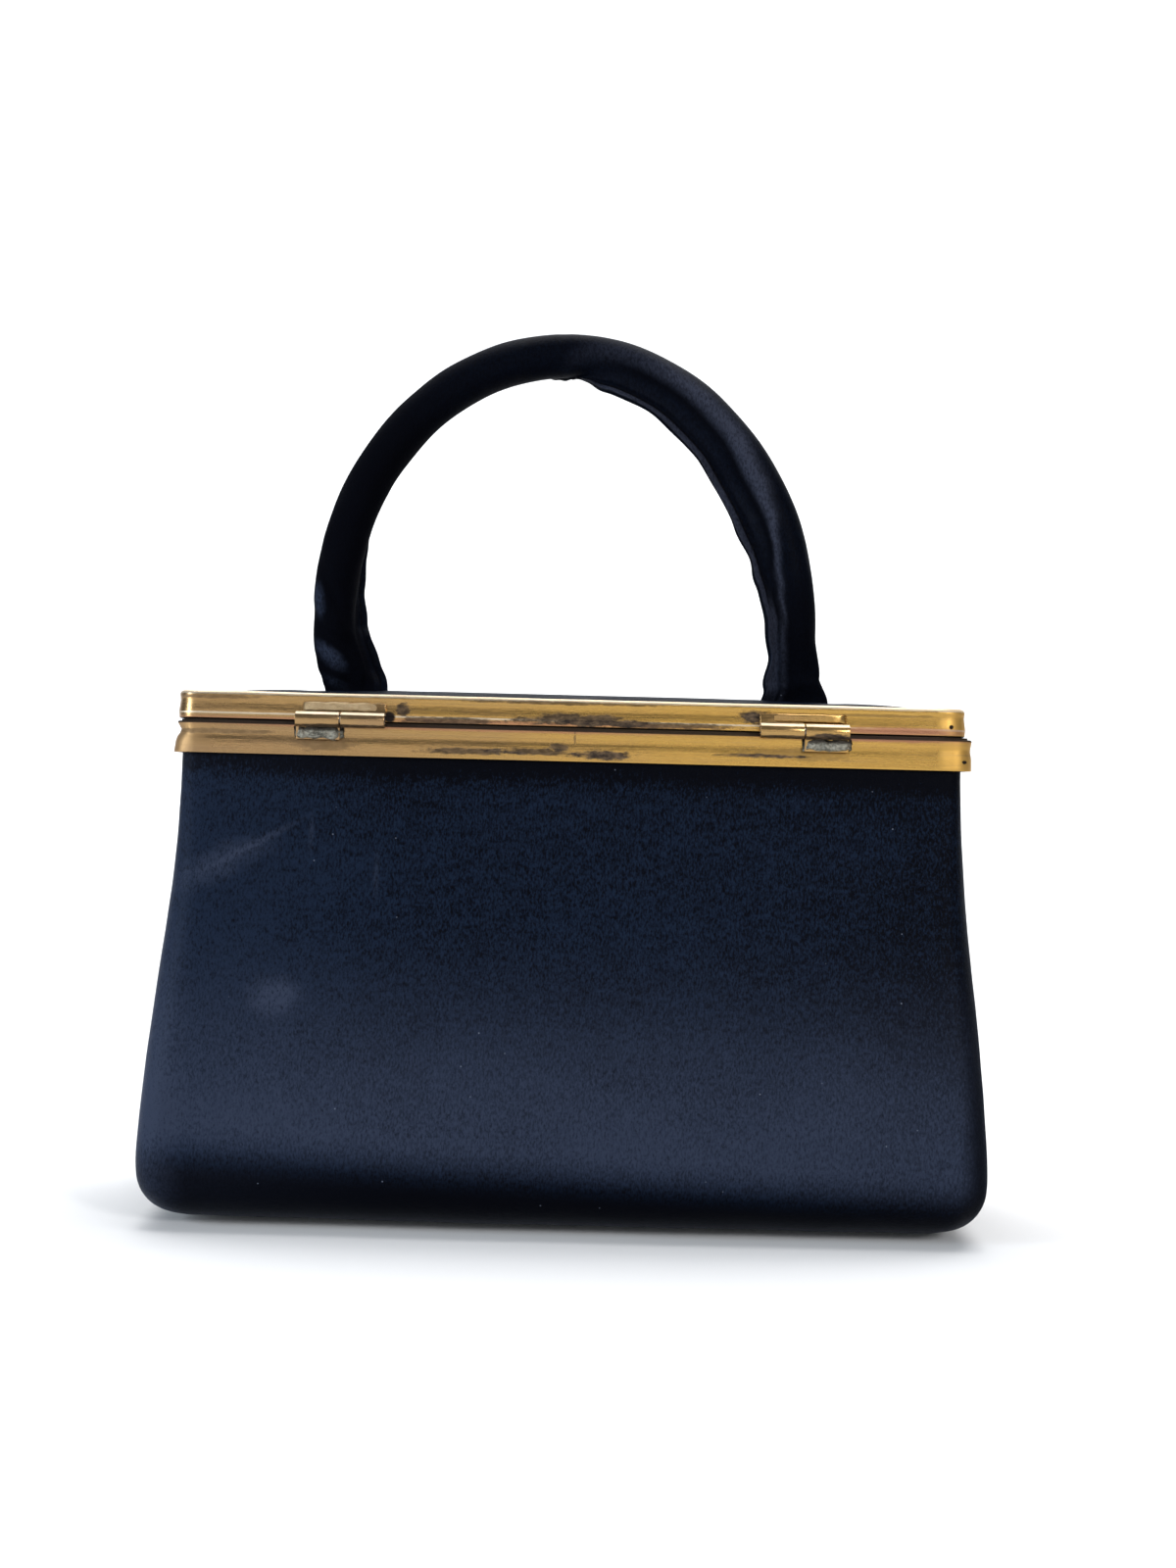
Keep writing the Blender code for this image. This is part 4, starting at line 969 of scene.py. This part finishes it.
bpy.ops.mesh.primitive_plane_add(size=2, location=(0, 0, PAD_EDGE))
cushion = begin("satin_lid_cushion")
bpy.ops.transform.resize(value=(PAD_HIGH.x, PAD_HIGH.y, 1), center_override=(0, 0, PAD_EDGE))
bpy.ops.mesh.bevel(offset=PAD_CORNER, segments=5, affect='VERTICES')
slot_ends = [side * (SLOT_MIDDLE + step * SLOT_HALF.x) for side in (-1, 1) for step in (-1, 0, 1)]
slice_across(cushion, 'X', spread(0.0840, 57) + slot_ends)
slice_across(cushion, 'Y', spread(0.0216, 16) + [-SLOT_HALF.y, SLOT_HALF.y])
pick(cushion, 'FACE', lambda face: abs(face.calc_center_median().y) < SLOT_HALF.y
     and abs(abs(face.calc_center_median().x) - SLOT_MIDDLE) < SLOT_HALF.x)
bpy.ops.mesh.delete(type='FACE')
bpy.ops.object.mode_set(mode='OBJECT')
for vert in cushion.data.vertices:
    across = max(0.0, 1 - abs(vert.co.y / PAD_HIGH.y) ** CROWN_POWER_ACROSS)
    along = max(0.0, 1 - abs(vert.co.x / PAD_HIGH.x) ** CROWN_POWER_ALONG)
    past_slot = Vector((max(0, abs(abs(vert.co.x) - SLOT_MIDDLE) - SLOT_HALF.x),
                        max(0, abs(vert.co.y) - SLOT_HALF.y))).length
    vert.co.z += PAD_CROWN * across * along - SLOT_DIP * math.exp(-(past_slot / SLOT_PULL) ** 2)
held = cushion.vertex_groups.new(name="held")
for vert in cushion.data.vertices:
    at_slot = (abs(vert.co.y) < SLOT_HALF.y * 1.1
               and abs(abs(vert.co.x) - SLOT_MIDDLE) < SLOT_HALF.x * 1.02)
    at_rim = abs(vert.co.x) > LID_HIGH.x - LID_FLANGE_REACH or abs(vert.co.y) > (
        LID_HIGH.y - LID_FLANGE_REACH)
    if at_slot or at_rim:
        held.add([vert.index], 1.0, 'REPLACE')
sewn_shape = [vert.co.copy() for vert in cushion.data.vertices]
cloth = cushion.modifiers.new("cloth", 'CLOTH')
cloth.settings.vertex_group_mass = held.name
cloth.settings.use_pressure = True
cloth.settings.uniform_pressure_force = PAD_PRESSURE
cloth.settings.effector_weights.gravity = 0
cloth.settings.mass = PAD_MASS
cloth.settings.quality = PAD_QUALITY
cloth.settings.shrink_min = PAD_SHRINK
for frame_number in range(1, PAD_FRAMES + 1):
    scene.frame_set(frame_number)
bpy.ops.object.modifier_apply(modifier=cloth.name)
scene.frame_set(1)
for vert, start in zip(cushion.data.vertices, sewn_shape):
    moved = vert.co - start
    vert.co = start + moved * min(1.0, PAD_GIVE / max(moved.length, 0.00001))
crown = max(vert.co.z for vert in cushion.data.vertices) - PAD_EDGE
for vert in cushion.data.vertices:
    if vert.co.z > PAD_EDGE and crown > 0:
        vert.co.z = PAD_EDGE + (vert.co.z - PAD_EDGE) * PAD_CROWN / crown
cushion.vertex_groups.clear()
bpy.ops.object.mode_set(mode='EDIT')
bpy.ops.mesh.select_all(action='SELECT')
extrude(0, 0, PAD_FLOOR - PAD_EDGE)
bpy.ops.transform.resize(value=(1, 1, 0), center_override=(0, 0, PAD_FLOOR))
face_outwards()
end(cushion, satin("navy_satin_lid", 0.45, 0.012, 0.0), 60, SUBSURF=smooth_levels(1))
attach(cushion, "lid")
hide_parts("lid_cover", "lid_padding")


# Handle cord: a soft twisted cotton cord inside the satin tube, which keeps it round. It ends
# above the feet, so that these press flat.
COTTON = (0.660, 0.620, 0.530)
COTTON_SHADE = (0.430, 0.395, 0.320)

cotton = Finish("cotton_cord", Specular_IOR_Level=0.2, Sheen_Weight=0.15)
strands = cotton.grain(0.0011, (1, 1, 2.5), 3.0)
cotton.set(Base_Color=cotton.mix(strands, COTTON_SHADE, COTTON), Roughness=0.85 + strands * 0.1,
           Normal=cotton.bump(strands, 0.0003))
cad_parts["handle_core"].material_slots[0].material = cotton.material


# Handle: a strip of the satin sewn into a tube over the cord, its seam allowance left outside
# along the inner edge. The feet are pressed flat, pushed through the lid and glued under it.
ARCH_LOW, ARCH_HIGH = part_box("handle_cover")
TUBE_RADIUS = 0.0052
ARCH_TOP = ARCH_HIGH.z - TUBE_RADIUS
LEG_HEIGHT = 0.0085
HALF_SPAN = 0.0548
FOOT_OFFSET = 0.0543
LEAN = 0.0030
LEAN_START = 0.1215
LEAN_HEIGHT = 0.0165
SHOULDER_SHARE = 0.019
TAIL_LOW, TAIL_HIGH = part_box("handle_end_left")
TAIL_HEIGHT = TAIL_LOW.z + 0.00045
TAIL_BEND = 0.0012
RING_STEP = 0.0010
ARCH_RINGS = 190
TAIL_RINGS = 8
SLOT_PRESS_SHARE = 0.115
FOOT_PRESS_SHARE = 0.45
PRESSED_HEIGHT = 0.0130
SEAM_PEAK = 0.0017
SEAM_ALLOWANCE = 0.0031
PLY = 0.00050
STITCH_SHARE = 0.42
TUBE_POINTS = 48
# Points down each face of the allowance, and the end of the slit between its plies, as shares of
# its width
FLAP_SHARES = (0.08, 0.20, 0.33, 0.42, 0.51, 0.66, 0.84, 0.95, 1.0)
SLIT_SHARE = 0.86
# Unevenness of the tube: length and height of the pucker by the seam, of the sway all over, and of
# the gathers, with how many go round, and where these start to fade above the feet. Then the half
# angles round the tube of the seam's peak, of the pucker and of a dent, and how far below a dent
# its ridge lies, in dent widths
PUCKER_LENGTH, PUCKER_HEIGHT = 0.0030, 0.00030
SWAY_LENGTH, SWAY_HEIGHT = 0.0110, 0.00026
GATHER_LENGTH, GATHER_HEIGHT = 0.0060, 0.00030
GATHERS = 5
GATHER_FADE = (0.1240, 0.0170)
PEAK_ANGLE, PUCKER_ANGLE, DENT_ANGLE = 0.26, 0.55, 0.95
RIDGE_BELOW = 2.1
# Where painted shade and painted highlights begin and end along the arch: start of the step and its
# length, as shares of the arch
SEEN_ON_BACK = (0.50, 0.06)
FOOT_OPENS = (0.89, 0.04)
SEAM_LIGHT_ENDS = (0.82, 0.05)
VALLEY_BEGINS = (0.50, 0.10)
VALLEY_ENDS = (0.86, 0.05)
# Turn of the seam away from the camera: share of the length from the left foot, share of a
# right angle
SEAM_TURN_SHARES = ((0.0, 0.38), (0.03, 0.43), (0.06, 0.50), (0.10, 0.63), (0.14, 0.74),
                    (0.19, 0.86), (0.24, 0.92), (0.44, 0.92), (0.47, 0.80), (0.485, 0.62),
                    (0.505, 0.05), (0.515, -0.12), (0.53, -0.28), (0.56, -0.37), (0.62, -0.33),
                    (0.70, -0.22), (0.76, -0.05), (0.85, -0.24), (0.90, -0.40), (0.94, -0.52),
                    (0.97, -0.52), (1.0, -0.38))
# Where the allowance is caught up as the seam comes round: share of the length, half share, loss
SEAM_CROSSING = (0.508, 0.030, 0.97)
# The seam's turn fades out over the feet: height, and height over which it comes back
SEAM_TURN_FADE = (0.1212, 0.0056)
# Swellings of the allowance's free edge on the right: height, half height, share of its width
EDGE_WAVES = ((0.1650, 0.0040, 0.22), (0.1570, 0.0030, -0.20), (0.1515, 0.0028, 0.14),
              (0.1335, 0.0024, -0.22), (0.1275, 0.0024, 0.28))
# Dents across a leg: its side, height, angle round the tube, slope, depth and width
DENTS = ((-1, 0.1355, 3.70, -0.0040, 0.0012, 0.0014), (-1, 0.1460, 3.60, -0.0060, 0.0008, 0.0016),
         (-1, 0.1280, 3.80, -0.0030, 0.0009, 0.0012), (1, 0.1262, 4.20, 0.0030, 0.0008, 0.0012),
         (1, 0.1222, 3.14, 0.0, -0.0012, 0.0026), (-1, 0.1385, 3.14, 0.0, 0.0012, 0.0042))
# Long fold beside the seam of the right leg: share of the length, angle from the seam, half angle,
# rise in mm, and how pale its painted highlight is
LEG_FOLD = ((0.47, 1.30, 0.55, 0.0, 0.0), (0.56, 1.35, 0.52, 0.0, 0.30),
            (0.66, 1.35, 0.50, 0.0, 0.80), (0.72, 1.35, 0.50, 0.10, 0.95),
            (0.77, 1.25, 0.45, 0.15, 0.90), (0.806, 1.02, 0.30, 0.30, 0.90),
            (0.84, 0.72, 0.18, 0.40, 0.90), (0.883, 0.38, 0.12, 0.40, 0.80),
            (0.913, 0.25, 0.10, 0.40, 0.70), (0.951, 0.17, 0.08, 0.25, 0.70),
            (1.0, 0.17, 0.08, 0.0, 0.50))
# Painted shade along the tube of the handle: share of the length, share of the darkest
LEG_SHADE = ((0.0, 0.80), (0.25, 0.85), (0.46, 0.20), (0.60, 0.0), (0.86, 0.0), (0.93, 0.70),
             (1.0, 0.60))
# Painted highlights on the back: middle across and up, half width, half height, slope, strength
HANDLE_HIGHLIGHTS = ((-0.0612, 0.1432, 0.0013, 0.0030, -0.6, 0.65),
               (-0.0585, 0.1306, 0.0032, 0.0018, -0.65, 0.75),
               (-0.0568, 0.1234, 0.0028, 0.0012, -0.45, 0.55),
               (0.0480, 0.1300, 0.0016, 0.0080, 0.0, 0.30))


def handle_line():
    """Middle of the handle, from the left tail under the lid's board over to the right one."""
    half = [Vector((-FOOT_OFFSET, TAIL_HIGH.y - step * RING_STEP, TAIL_HEIGHT))
            for step in range(TAIL_RINGS)]
    half += [Vector((-FOOT_OFFSET, TAIL_BEND * (1 - math.sin(turn)),
                     TAIL_HEIGHT + TAIL_BEND * (1 - math.cos(turn))))
             for turn in (math.pi / 8, math.pi / 4, math.pi * 3 / 8)]
    spring = ARCH_LOW.z + LEG_HEIGHT
    height = TAIL_HEIGHT + TAIL_BEND
    while height < spring - RING_STEP / 2:
        rise = ease(height, ARCH_LOW.z, LEG_HEIGHT)
        half.append(Vector((-FOOT_OFFSET - (HALF_SPAN - FOOT_OFFSET) * rise, 0, height)))
        height += RING_STEP
    arch = []
    for step in range(ARCH_RINGS + 1):
        angle = step / ARCH_RINGS * math.pi
        x = -HALF_SPAN * math.cos(angle) * (1 + SHOULDER_SHARE * abs(math.sin(2 * angle)))
        arch.append(Vector((x, 0, spring + (ARCH_TOP - spring) * math.sin(angle))))
    line = half + arch + [Vector((-point.x, point.y, point.z)) for point in reversed(half)]
    for point in line:
        point.x -= LEAN * ease(point.z, LEAN_START, LEAN_HEIGHT)
    return line


line = handle_line()
lengths = [0.0]
for start, stop in zip(line, line[1:]):
    lengths.append(lengths[-1] + (stop - start).length)
foot_length = next(length for point, length in zip(line, lengths) if point.z > ARCH_LOW.z)
arch_length = lengths[-1] - 2 * foot_length


def length_share(length):
    """Share of the arch's length at a length along the handle, 0 at the left foot."""
    return (length - foot_length) / arch_length


def along_handle(rows, share):
    """The values of a table's rows at a share of the arch's length, which is their first value."""
    share = min(max(share, rows[0][0]), rows[-1][0])
    for row, next_row in zip(rows, rows[1:]):
        if share <= next_row[0]:
            blend = ease(share, row[0], next_row[0] - row[0])
            return [first + (second - first) * blend
                    for first, second in zip(row[1:], next_row[1:])]


def pressing(place):
    """Share of its round depth that the tube keeps: flat in the slots, round above the feet."""
    above_slot = ease(place.z, PAD_HIGH.z, ARCH_LOW.z - PAD_HIGH.z)
    foot = SLOT_PRESS_SHARE + (FOOT_PRESS_SHARE - SLOT_PRESS_SHARE) * above_slot
    return foot + (1 - foot) * ease(place.z, ARCH_LOW.z, PRESSED_HEIGHT)


def dent(place, angle, side, height, at_angle, slope, depth, width):
    """Diagonal fold across one side of a leg, with the ridge that it pushes up below it."""
    if place.x * side < 0:
        return 0.0
    away = place.z - height - slope * (angle - at_angle)
    reach = math.exp(-((angle - at_angle) / DENT_ANGLE) ** 2)
    ridge = math.exp(-((away + RIDGE_BELOW * width) / width) ** 2)
    return -depth * reach * (math.exp(-(away / width) ** 2) - 0.5 * ridge)


def seam_loss(length):
    """Share of the seam's peak and allowance that is caught up at a length."""
    crossing, half_share, loss = SEAM_CROSSING
    return loss * math.exp(-((length_share(length) - crossing) / half_share) ** 2)


def tube_wrinkles(place, angle, length):
    """How far the satin stands off the round tube at one point of it."""
    from_seam = min(angle, 2 * math.pi - angle)
    near_seam = math.exp(-(from_seam / PUCKER_ANGLE) ** 2)
    peak = SEAM_PEAK * (1 - seam_loss(length)) * math.exp(-(from_seam / PEAK_ANGLE) ** 2)
    pucker = noise.noise(Vector((length / PUCKER_LENGTH, 0.0, 3.0))) - 0.4
    sway = noise.noise(Vector((length / SWAY_LENGTH, math.cos(angle), math.sin(angle))))
    gather = math.sin(
        GATHERS * angle + 3 * noise.noise(Vector((length / GATHER_LENGTH, 1.0, 0.0))))
    at_foot = 1 - ease(place.z, *GATHER_FADE)
    folds = gather * GATHER_HEIGHT * at_foot * ease(from_seam, 0.0, 0.6)
    if angle > math.pi:
        fold_angle, half_angle, rise, _ = along_handle(LEG_FOLD, length_share(length))
        folds += rise * 0.001 * math.exp(-((from_seam - fold_angle) / half_angle) ** 2)
    return (peak + pucker * near_seam * PUCKER_HEIGHT + sway * SWAY_HEIGHT + folds
            + sum(dent(place, angle, *size) for size in DENTS))


def handle_section(place, length):
    """Points round the handle: the tube, then down one face of the allowance and up the other."""
    opening = math.asin(PLY / TUBE_RADIUS)
    press = pressing(place)
    points = []
    for step in range(TUBE_POINTS):
        angle = opening + (2 * math.pi - 2 * opening) * step / (TUBE_POINTS - 1)
        radius = TUBE_RADIUS + tube_wrinkles(place, angle, length)
        points.append((radius * math.cos(angle), radius * math.sin(angle), press))
    wave = noise.noise(Vector((length / 0.0085, 4.0, 0.0)))
    flutter = noise.noise(Vector((length / 0.0140, 8.0, 0.0)))
    loose = 0.35 if place.x < 0 else 1.0
    kept = 1 - seam_loss(length)
    width = SEAM_ALLOWANCE * (1 + 0.07 * loose * wave) * kept
    if place.x > 0:
        width *= 1 + sum(share * math.exp(-((place.z - height) / half) ** 2)
                         for height, half, share in EDGE_WAVES)
    flat = max(press, 0.7)
    root = TUBE_RADIUS + SEAM_PEAK * kept
    for side, shares in ((-1, FLAP_SHARES), (1, FLAP_SHARES[::-1])):
        for share in shares:
            bent = 0.0006 * loose * flutter * share ** 2
            gap = 0.00022 * share ** 4 * (1 + wave) - 0.00034 * math.exp(
                -((share - STITCH_SHARE) / 0.10) ** 2)
            points.append((root + width * share, bent + side * (PLY + gap), flat))
        if side < 0:
            points.append((root + width * SLIT_SHARE, bent, flat))
    return points


def surface_marks(column, length):
    """Painted shade in the seam's valley, by the stitches and down the tube, and the painted
    highlight on the long fold and the flap, at one point of a section.
    """
    share = length_share(length)
    if column >= TUBE_POINTS:
        flap_share = (FLAP_SHARES + (SLIT_SHARE,) + FLAP_SHARES[::-1])[column - TUBE_POINTS]
        on_back = column < TUBE_POINTS + len(FLAP_SHARES)
        shown = ease(share, *SEEN_ON_BACK) if on_back else 0.0
        open_foot = ease(share, *FOOT_OPENS)
        edge = ease(flap_share, STITCH_SHARE, 0.10)
        stitched = math.exp(-((flap_share - STITCH_SHARE) / 0.07) ** 2)
        # Painted shade along the stitches and by the tube; painted light on the flap where it opens
        # at the foot
        dark = max(stitched, 0.25 * (1 - edge)) * (1 - open_foot * shown)
        return dark, shown * max(0.58 * edge, 0.42 * open_foot)
    angle = 2 * math.pi * column / (TUBE_POINTS - 1)
    from_seam = min(angle, 2 * math.pi - angle)
    fold_angle, half_angle, _, pale = along_handle(LEG_FOLD, share)
    # The tube is painted darker as if in shade, most of all down the left leg
    dark = along_handle(LEG_SHADE, share)[0]
    if angle < math.pi:
        return dark, 0.0
    # Painted shade in the valley beside the long fold, and a painted highlight on the fold and by
    # the seam
    valley = 0.95 * math.exp(-((from_seam - fold_angle + half_angle * 1.4) / 0.20) ** 2)
    paler = pale * math.exp(-((from_seam - fold_angle) / half_angle) ** 2)
    shown = ease(share, *SEEN_ON_BACK) * (1 - ease(share, *SEAM_LIGHT_ENDS))
    paler = max(paler, 0.05 * shown * math.exp(-(from_seam / 0.35) ** 2))
    dark = max(dark, valley * ease(share, *VALLEY_BEGINS) * (1 - ease(share, *VALLEY_ENDS)))
    return dark * (1 - paler), paler


def handle_frame(step):
    """Middle of one ring, and its directions inwards and across, turned with the seam."""
    along = (line[min(step + 1, len(line) - 1)] - line[max(step - 1, 0)]).normalized()
    inward = Vector((0, 1, 0)).cross(along)
    if inward.length < 0.1:
        inward = Vector((-line[step].x, 0, 0))
    inward.normalize()
    fade = ease(line[step].z, *SEAM_TURN_FADE)
    turn = along_handle(SEAM_TURN_SHARES, length_share(lengths[step]))[0] * fade * math.pi / 2
    return line[step], along, inward, along.cross(inward), turn


def on_handle(step, u, v, press):
    """Place of a point that lies u inwards and v across from the middle of a ring."""
    middle, _, inward, across, turn = handle_frame(step)
    turned_u = u * math.cos(turn) - v * math.sin(turn)
    turned_v = u * math.sin(turn) + v * math.cos(turn)
    return middle + inward * turned_u + across * turned_v * press


section_size = TUBE_POINTS + 2 * len(FLAP_SHARES) + 1
bpy.ops.mesh.primitive_grid_add(x_subdivisions=section_size, y_subdivisions=len(line) - 1)
handle = begin("satin_handle")
bpy.ops.object.mode_set(mode='OBJECT')
# Each point takes its painted shade and painted highlight as two attributes
mark_layers = [handle.data.attributes.new(name, 'FLOAT', 'POINT')
               for name in ("crease_shade", "painted_fold_highlight")]
for step, place in enumerate(line):
    section = handle_section(place, lengths[step])
    for column in range(section_size + 1):
        index = step * (section_size + 1) + column
        around = column % section_size
        handle.data.vertices[index].co = on_handle(step, *section[around])
        for layer, mark in zip(mark_layers, surface_marks(around, lengths[step])):
            layer.data[index].value = mark
bpy.ops.object.mode_set(mode='EDIT')
bpy.ops.mesh.select_all(action='SELECT')
bpy.ops.mesh.remove_doubles(threshold=0.000001)
bpy.ops.mesh.select_mode(type='VERT')
bpy.ops.mesh.select_all(action='DESELECT')
bpy.ops.mesh.select_non_manifold()
bpy.ops.mesh.fill_holes(sides=0)
face_outwards()
# The handle's satin mixes in its painted shade, its painted fold highlight and painted highlights
# on the back
end(handle, satin("navy_satin_handle", 0.16, 0.020, 0.006, wear_and_highlights=HANDLE_HIGHLIGHTS, creased=True), 70,
    SUBSURF=smooth_levels(1))
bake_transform(handle)
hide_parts("handle_cover", "handle_end_left", "handle_end_right")


# Seam stitches: a row of black thread, machine-sewn through both plies of the allowance close to
# the tube, which it closes round the cord.
STITCH_PITCH = 0.0022
STITCH_STOP = 0.90
STITCH_SIZE = Vector((0.00085, 0.00028, 0.00020))
THREAD = (0.0008, 0.0008, 0.0014)
THREAD_LIT = (0.0035, 0.0035, 0.0055)

thread = Finish("black_thread", Roughness=0.6, Specular_IOR_Level=0.03)
twist = thread.grain(0.0002, (1, 1, 3), 2.0)
thread.set(Base_Color=thread.mix(twist, THREAD, THREAD_LIT),
           Normal=thread.bump(twist, 0.00005))
bpy.ops.mesh.primitive_uv_sphere_add(segments=6, ring_count=4, radius=1)
stitch = begin("handle_seam_stitches")
end(stitch, thread)
stitch_mesh = stitch.data
stitches = [stitch]
next_length = foot_length + STITCH_PITCH
for step, place in enumerate(line):
    if not next_length <= lengths[step] < foot_length + arch_length * STITCH_STOP:
        continue
    next_length += STITCH_PITCH
    _, along, inward, across, turn = handle_frame(step)
    u_axis = inward * math.cos(turn) + across * math.sin(turn)
    v_axis = across * math.cos(turn) - inward * math.sin(turn)
    turned = Matrix((along, u_axis, v_axis)).transposed().to_4x4()
    for side in (-1, 1):
        copy = stitch.copy()
        copy.data = stitch_mesh.copy()
        scene.collection.objects.link(copy)
        from_tube = (SEAM_PEAK + SEAM_ALLOWANCE * STITCH_SHARE) * (1 - seam_loss(lengths[step]))
        middle = on_handle(step, TUBE_RADIUS + from_tube, side * (PLY - 0.00026), 1.0)
        copy.data.transform(Matrix.Translation(middle) @ turned @ Matrix.Diagonal(
            (*STITCH_SIZE, 1)))
        stitches.append(copy)
bpy.data.objects.remove(stitches.pop(0))
bpy.ops.object.select_all(action='DESELECT')
for copy in stitches:
    copy.select_set(True)
bpy.context.view_layer.objects.active = stitches[0]
bpy.ops.object.join()
stitches[0].name = stitches[0].data.name = "handle_seam_stitches"
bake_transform(stitches[0])


# Clasp: a gold-plated plate soldered to the front of the lid's rim, with an ear at each end rolled
# round a steel pin, a flip tab that hangs on the pin, and a domed stud riveted to the body's rim.
PLATE_LOW, PLATE_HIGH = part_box("clasp_plate")
TAB_LOW, TAB_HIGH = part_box("clasp_tab")
STUD_LOW, STUD_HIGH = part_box("clasp_stud")
CLASP_PIN_LOW, CLASP_PIN_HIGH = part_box("clasp_pin")
CLASP_AXIS = (CLASP_PIN_LOW + CLASP_PIN_HIGH) / 2
PLATE_WALL = 0.0008
PLATE_CORNER = 0.0012
EAR_LENGTH = 0.0022
CLASP_KNUCKLE = 0.0014
CLASP_STRAP = 0.00055
STRAP_TOP = CLASP_AXIS.z + CLASP_KNUCKLE - CLASP_STRAP / 2
LIP_RADIUS = 0.0009
STRAP_STUB = 0.00010
BOSS_MARGIN = 0.0011
BOSS_HEIGHT = 0.00016
RIVET_FOOT = 0.0004
DOME_SHARE = 0.8
CLASP_EDGE = 0.00010
EAR_TURN = math.radians(300)
LIP_TURN = -math.radians(290)
TAB_TURN = -math.radians(345)


def roll_edge(piece, edge_y, height, reach, centre, turn):
    """Rolls a strap's end face, found by its middle's Y and height, round a centre along X."""
    pick(piece, 'FACE', lambda face: abs(face.calc_center_median().y - edge_y) < 0.00005
         and abs(face.calc_center_median().z - height) < 0.00005
         and abs(face.calc_center_median().x - reach) < 0.0001)
    bpy.ops.mesh.spin(steps=18, angle=turn, center=centre, axis=(1, 0, 0))


def finish_clasp(piece, body, node):
    """Turns a clasp piece's faces outwards, rounds its edges and fixes it to its body."""
    face_outwards()
    end(piece, fitting_gold, 30, **metal_edges(CLASP_EDGE, 40))
    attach(piece, body)
    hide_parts(node)


clasp_plate = add_block("clasp_plate_with_ears", PLATE_LOW,
                        (PLATE_HIGH.x, PLATE_LOW.y + PLATE_WALL, PLATE_HIGH.z))
pick(clasp_plate, 'EDGE',
     lambda edge: abs(edge.verts[0].co.y - edge.verts[1].co.y) > PLATE_WALL / 2)
bpy.ops.mesh.bevel(offset=PLATE_CORNER, segments=5)
for side in (-1, 1):
    ear = CLASP_AXIS + Vector((side * (PLATE_HIGH.x - EAR_LENGTH / 2), 0, 0))
    root = PLATE_LOW.y + PLATE_WALL / 2
    bpy.ops.mesh.primitive_cube_add(
        size=1, location=(ear.x, (root + ear.y) / 2, STRAP_TOP),
        scale=(EAR_LENGTH, ear.y - root, CLASP_STRAP))
    roll_edge(clasp_plate, ear.y, STRAP_TOP, ear.x, CLASP_AXIS, EAR_TURN)
finish_clasp(clasp_plate, "lid", "clasp_plate")

clasp_tab = add_block("clasp_flip_tab", (TAB_LOW.x, TAB_LOW.y, TAB_LOW.z + LIP_RADIUS),
                      (TAB_HIGH.x, TAB_LOW.y + CLASP_STRAP, CLASP_AXIS.z - CLASP_KNUCKLE * 0.7))
pick(clasp_tab, 'FACE', lambda face: face.normal.y > 0.9)
bpy.ops.mesh.inset(thickness=BOSS_MARGIN)
pick(clasp_tab, 'FACE', lambda face: face.normal.y > 0.9
     and abs(face.calc_center_median().x) < 0.0001 and len(face.verts) == 4
     and face.calc_area() > 0.00003)
extrude(0, BOSS_HEIGHT, 0)
roll_edge(clasp_tab, TAB_LOW.y + CLASP_STRAP / 2, TAB_LOW.z + LIP_RADIUS, 0,
          (0, TAB_LOW.y + LIP_RADIUS, TAB_LOW.z + LIP_RADIUS), LIP_TURN)
bpy.ops.mesh.primitive_cube_add(size=1, location=(0, CLASP_AXIS.y, STRAP_TOP),
                                scale=(TAB_HIGH.x - TAB_LOW.x, STRAP_STUB, CLASP_STRAP))
roll_edge(clasp_tab, CLASP_AXIS.y - STRAP_STUB / 2, STRAP_TOP, 0, CLASP_AXIS, TAB_TURN)
finish_clasp(clasp_tab, "clasp_tab", "clasp_tab")

stud_middle = (STUD_LOW + STUD_HIGH) / 2
bpy.ops.mesh.primitive_cylinder_add(
    vertices=36, radius=stud_middle.x - STUD_LOW.x, depth=STUD_HIGH.y - STUD_LOW.y + RIVET_FOOT,
    location=stud_middle - Vector((0, RIVET_FOOT / 2, 0)), rotation=(math.pi / 2, 0, 0))
stud = begin("clasp_domed_stud")
pick(stud, 'EDGE',
     lambda edge: all(abs(vert.co.y - STUD_HIGH.y) < 0.00001 for vert in edge.verts))
bpy.ops.mesh.bevel(offset=(STUD_HIGH.y - STUD_LOW.y) * DOME_SHARE, segments=6)
finish_clasp(stud, "body", "clasp_stud")
